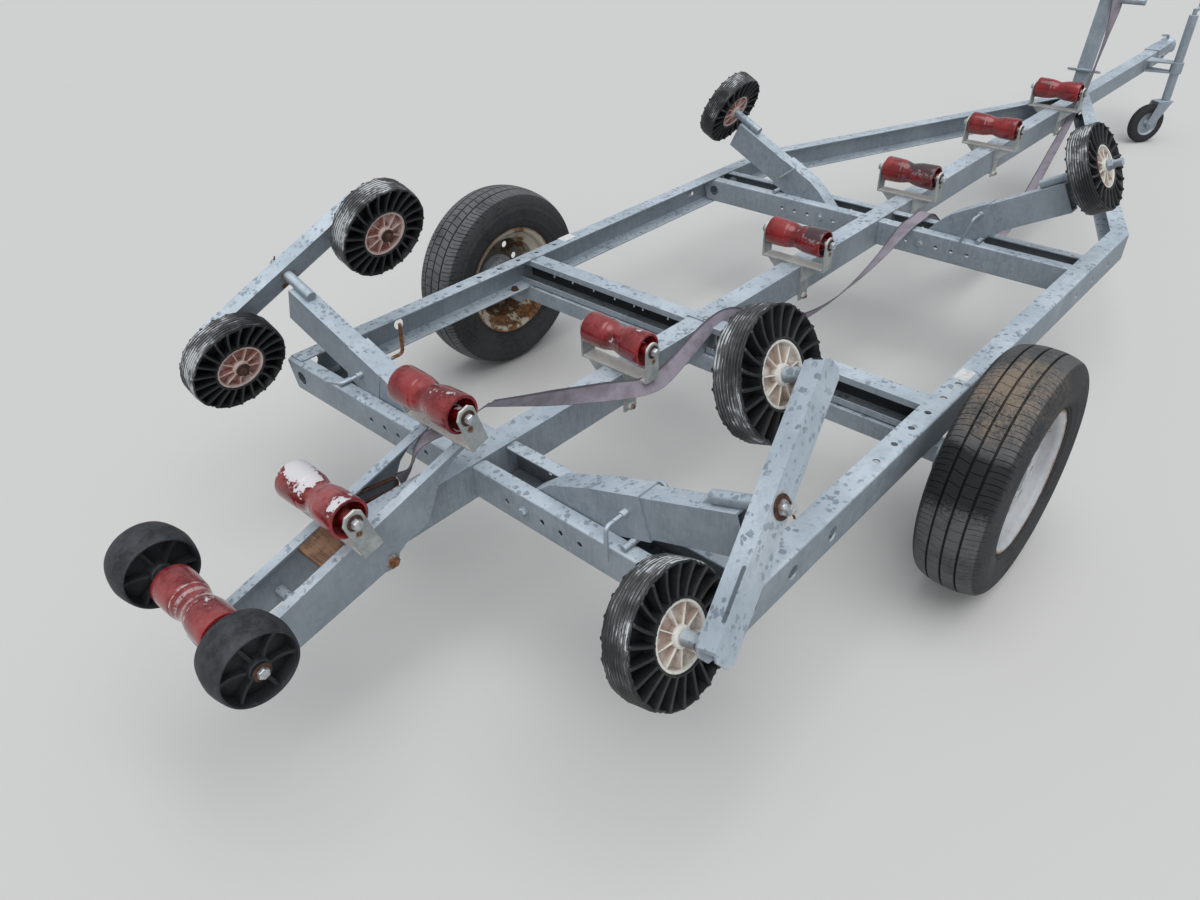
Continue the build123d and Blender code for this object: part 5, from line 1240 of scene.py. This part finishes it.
# Jockey wheel: a solid black tyre on a grey pressed centre. Bow stop: a notched block of black rubber.
joint = spin["jockey_wheel_spin"]
half_tyre = [(0.0640, 0.0150), (0.0660, 0.0190), (0.0720, 0.0215), (0.0840, 0.0240), (0.0950, 0.0235)]
half_tyre += [(0.1020, 0.0205), (0.1070, 0.0160), (0.1080, 0.0140), (0.1065, 0.0125), (0.1065, 0.0110)]
half_tyre += [(0.1094, 0.0090), (0.1098, 0.0060), (0.1080, 0.0045), (0.1080, 0.0025), (0.1100, 0.0010)]
half_hub = [(0.00805, 0.0250), (0.0165, 0.0250), (0.0190, 0.0235), (0.0205, 0.0120), (0.0240, 0.0090)]
half_hub += [(0.0560, 0.0090), (0.0600, 0.0140), (0.0640, 0.0190), (0.0655, 0.0190)]
small_rubber = tyre_rubber("small_rubber")
small_parts = {"jockey_tyre": (half_tyre, small_rubber), "jockey_hub": (half_hub, zinc_steel)}
for name, (half, material) in small_parts.items():
    form = placed(turned(both_sides(half), 96), joint["pos_m"], joint["axis"])
    piece = made(name, [net(form, (True, True))], material, joint["child"], 35.0)
    if half is half_tyre:
        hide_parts("jockey_wheel")
eased_copy("bow_stop", small_rubber, 0.006)


# Fastenings and marks: rusty washers under bright nuts on the rollers' ears, end wheels and rockers, split
# pins, zinc drips under the axle channel's lip, two blank labels, and the webbing on the drum.
bright = Finish("bright_zinc", Metallic=0.75, Roughness=0.33)
dulled = bright.step(bright.cloud(130.0, 3.0), 0.4, 0.65)
bright_tone = bright.colours(dulled, (0.58, 0.60, 0.62), (0.40, 0.42, 0.44))
bright.drive(Base_Color=bright_tone, Normal=bright.relief(bright.cloud(200.0), 0.15, 0.001))


def ring_of(origin, axis, bore_radius, radius, low, high):
    """A flat washer: a closed ring between two radii and two heights, its outer edge eased."""
    ease = (high - low) * 0.2
    section = [(bore_radius, low), (radius - ease, low), (radius, low + ease), (radius, high - ease)]
    section += [(radius - ease, high), (bore_radius, high)]
    return net(placed(turned(section, 32), origin, axis), (True, True))


def nut_and_end(origin, axis, corner, low, high, pin, pin_end):
    """A hexagon nut, chamfered above, and the pin's end through it with an eased tip."""
    rings = [(0.0, low), (1.0, low), (1.0, high - 0.0020), (0.90, high), (0.0, high)]
    nut = turned([(corner * k, h) for k, h in rings], 6, 0.35)
    ease = 0.0015
    tip = turned([(0.0, low), (pin, low), (pin, pin_end - ease), (pin - ease, pin_end), (0.0, pin_end)], 24)
    return [net(placed(part, origin, axis), (True, False)) for part in (nut, tip)]


def wire_path(points, radius, sides=8):
    """A round wire along straight runs: a circle square to the run's direction at each point, with caps."""
    points = np.array(points, float)
    ahead = np.gradient(points, axis=0)
    ahead /= np.linalg.norm(ahead, axis=1)[:, None]
    first = np.cross(ahead, (0.31, 0.83, 0.46))
    first /= np.linalg.norm(first, axis=1)[:, None]
    second = np.cross(ahead, first)
    turn = (np.arange(sides) * 2 * np.pi / sides)[None, :, None]
    grid = points[:, None] + radius * (first[:, None] * np.cos(turn) + second[:, None] * np.sin(turn))
    return net(grid, (False, True), caps=True)


washers, nuts = {}, {}
for name in roller_names:
    x, y, z = spin[f"{name}_spin"]["pos_m"]
    body = "tilting_cradle" if name in on_cradle else "chassis"
    outer = ear_out + (0.110 if name == "end_roller" else 0.0)
    for side in (1, -1):
        origin, axis = (x, side * outer, z), (0, side, 0)
        base = 0.0055 if name == "end_roller" else 0.0002
        top = base + 0.0024
        washers.setdefault(body, []).append(ring_of(origin, axis, 0.0104, 0.0185, base, top))
        nuts.setdefault(body, []).extend(nut_and_end(origin, axis, 0.0124, top, 0.0150, 0.0075, 0.0156))
for side in ("right", "left"):
    joint = spin[f"{side}_rocker_tilt"]
    origin, axis, body = joint["pos_m"], np.array(joint["axis"]), joint["child"]
    if axis[1] * (1 if side == "left" else -1) < 0:
        axis = -axis
    washers.setdefault(body, []).append(ring_of(origin, axis, 0.0108, 0.0246, 0.0158, 0.0196))
    nuts.setdefault(body, []).extend(nut_and_end(origin, axis, 0.0163, 0.0196, 0.0312, 0.0103, 0.0432))
    along = np.array((1.0, 0.0, 0.0))
    across_pin = np.cross(axis, along)
    at = np.array(origin) + axis * 0.0375
    legs = [at - across_pin * 0.021 + along * 0.002, at - across_pin * 0.012, at, at + across_pin * 0.013]
    legs += [at + across_pin * 0.020 - axis * 0.006]
    washers[body].append(wire_path(legs, 0.0022))
    for end in ("aft", "fore"):
        spot = np.array(spin[f"{side}_{end}_hull_wheel_spin"]["pos_m"]) - axis * hull_half
        washers[body].append(ring_of(spot, -axis, 0.0090, 0.0192, 0.0019, 0.0060))
        washers[body] += nut_and_end(spot, -axis, 0.0128, 0.0060, 0.0180, 0.0092, 0.0196)
for body, nets in washers.items():
    made(f"{body}_rusty_washers", nets, rusty.material, body, 35.0)
for body, nets in nuts.items():
    made(f"{body}_bright_nuts", nets, bright.material, body, 30.0)

drip_nets = []
drop = [(0.0, 0.0030), (0.0013, 0.0010), (0.0022, -0.0020), (0.0034, -0.0060), (0.0030, -0.0088)]
drop += [(0.0016, -0.0103), (0.0, -0.0107)]
for y in (0.328, 0.246, 0.210, 0.109, 0.420, 0.515, 0.601, -0.118, -0.233, -0.352, -0.470):
    hung_from = (axle_x - 0.0432, y, 0.4385 + 0.001 * math.sin(y * 50))
    drip_nets.append(net(placed(turned(drop, 12), hung_from, (0, 0, 1)), (True, False)))
for y, x, z, axis in ((0.7688, 0.919, 0.409, (0, -1, 0)), (-0.024, -0.029, 0.4668, (0, 0, 1))):
    drip_nets += bolt_head((axle_x + x, y, z), axis, 0.017, 0.007, 0.012)
made("drips_and_bolts", drip_nets, bright.material, "chassis", 35.0)
rusted_bolt = bolt_head((axle_x - 0.110, 0.735, 0.367), (0, 0, 1), 0.019, 0.009, 0.014)
made("flange_bolt", rusted_bolt, rusty.material, "chassis", 35.0)

paper = Finish("blank_label", Roughness=0.6)
faded = paper.step(paper.cloud(90.0, 3.0), 0.45, 0.7)
paper.drive(Base_Color=paper.colours(faded, (0.72, 0.72, 0.70), (0.56, 0.57, 0.57)))
for side, x, y in (("right", 0.156, -0.739), ("left", 0.177, 0.753)):
    turn = np.linspace(0, 2 * np.pi, 24, endpoint=False)
    square, arc = np.sign([np.cos(turn), np.sin(turn)]), np.array([np.cos(turn), np.sin(turn)])
    round_corner = (square * [[0.027], [0.016]] + 0.003 * arc).T
    sheet = np.stack([np.column_stack([round_corner, np.full(24, h)]) for h in (-0.0002, 0.0005)])
    label = placed(sheet, (axle_x + x, y, rail_high.z), (0, 0, 1))
    made(f"{side}_label", [net(label, (False, True), caps=True)], paper.material, "chassis", 30.0)

drum_spot = (axle_x + 3.24099, 0.0, 1.0817)
wound = turned([(0.0490, -0.0255), (0.0528, -0.0252), (0.0528, 0.0252), (0.0490, 0.0255)], 64)
wound = net(placed(wound, drum_spot, (0, 1, 0)), (True, True), (0.33, 4.0))
coil = made("wound_webbing", [wound], cloth.material, "chassis", 40.0)
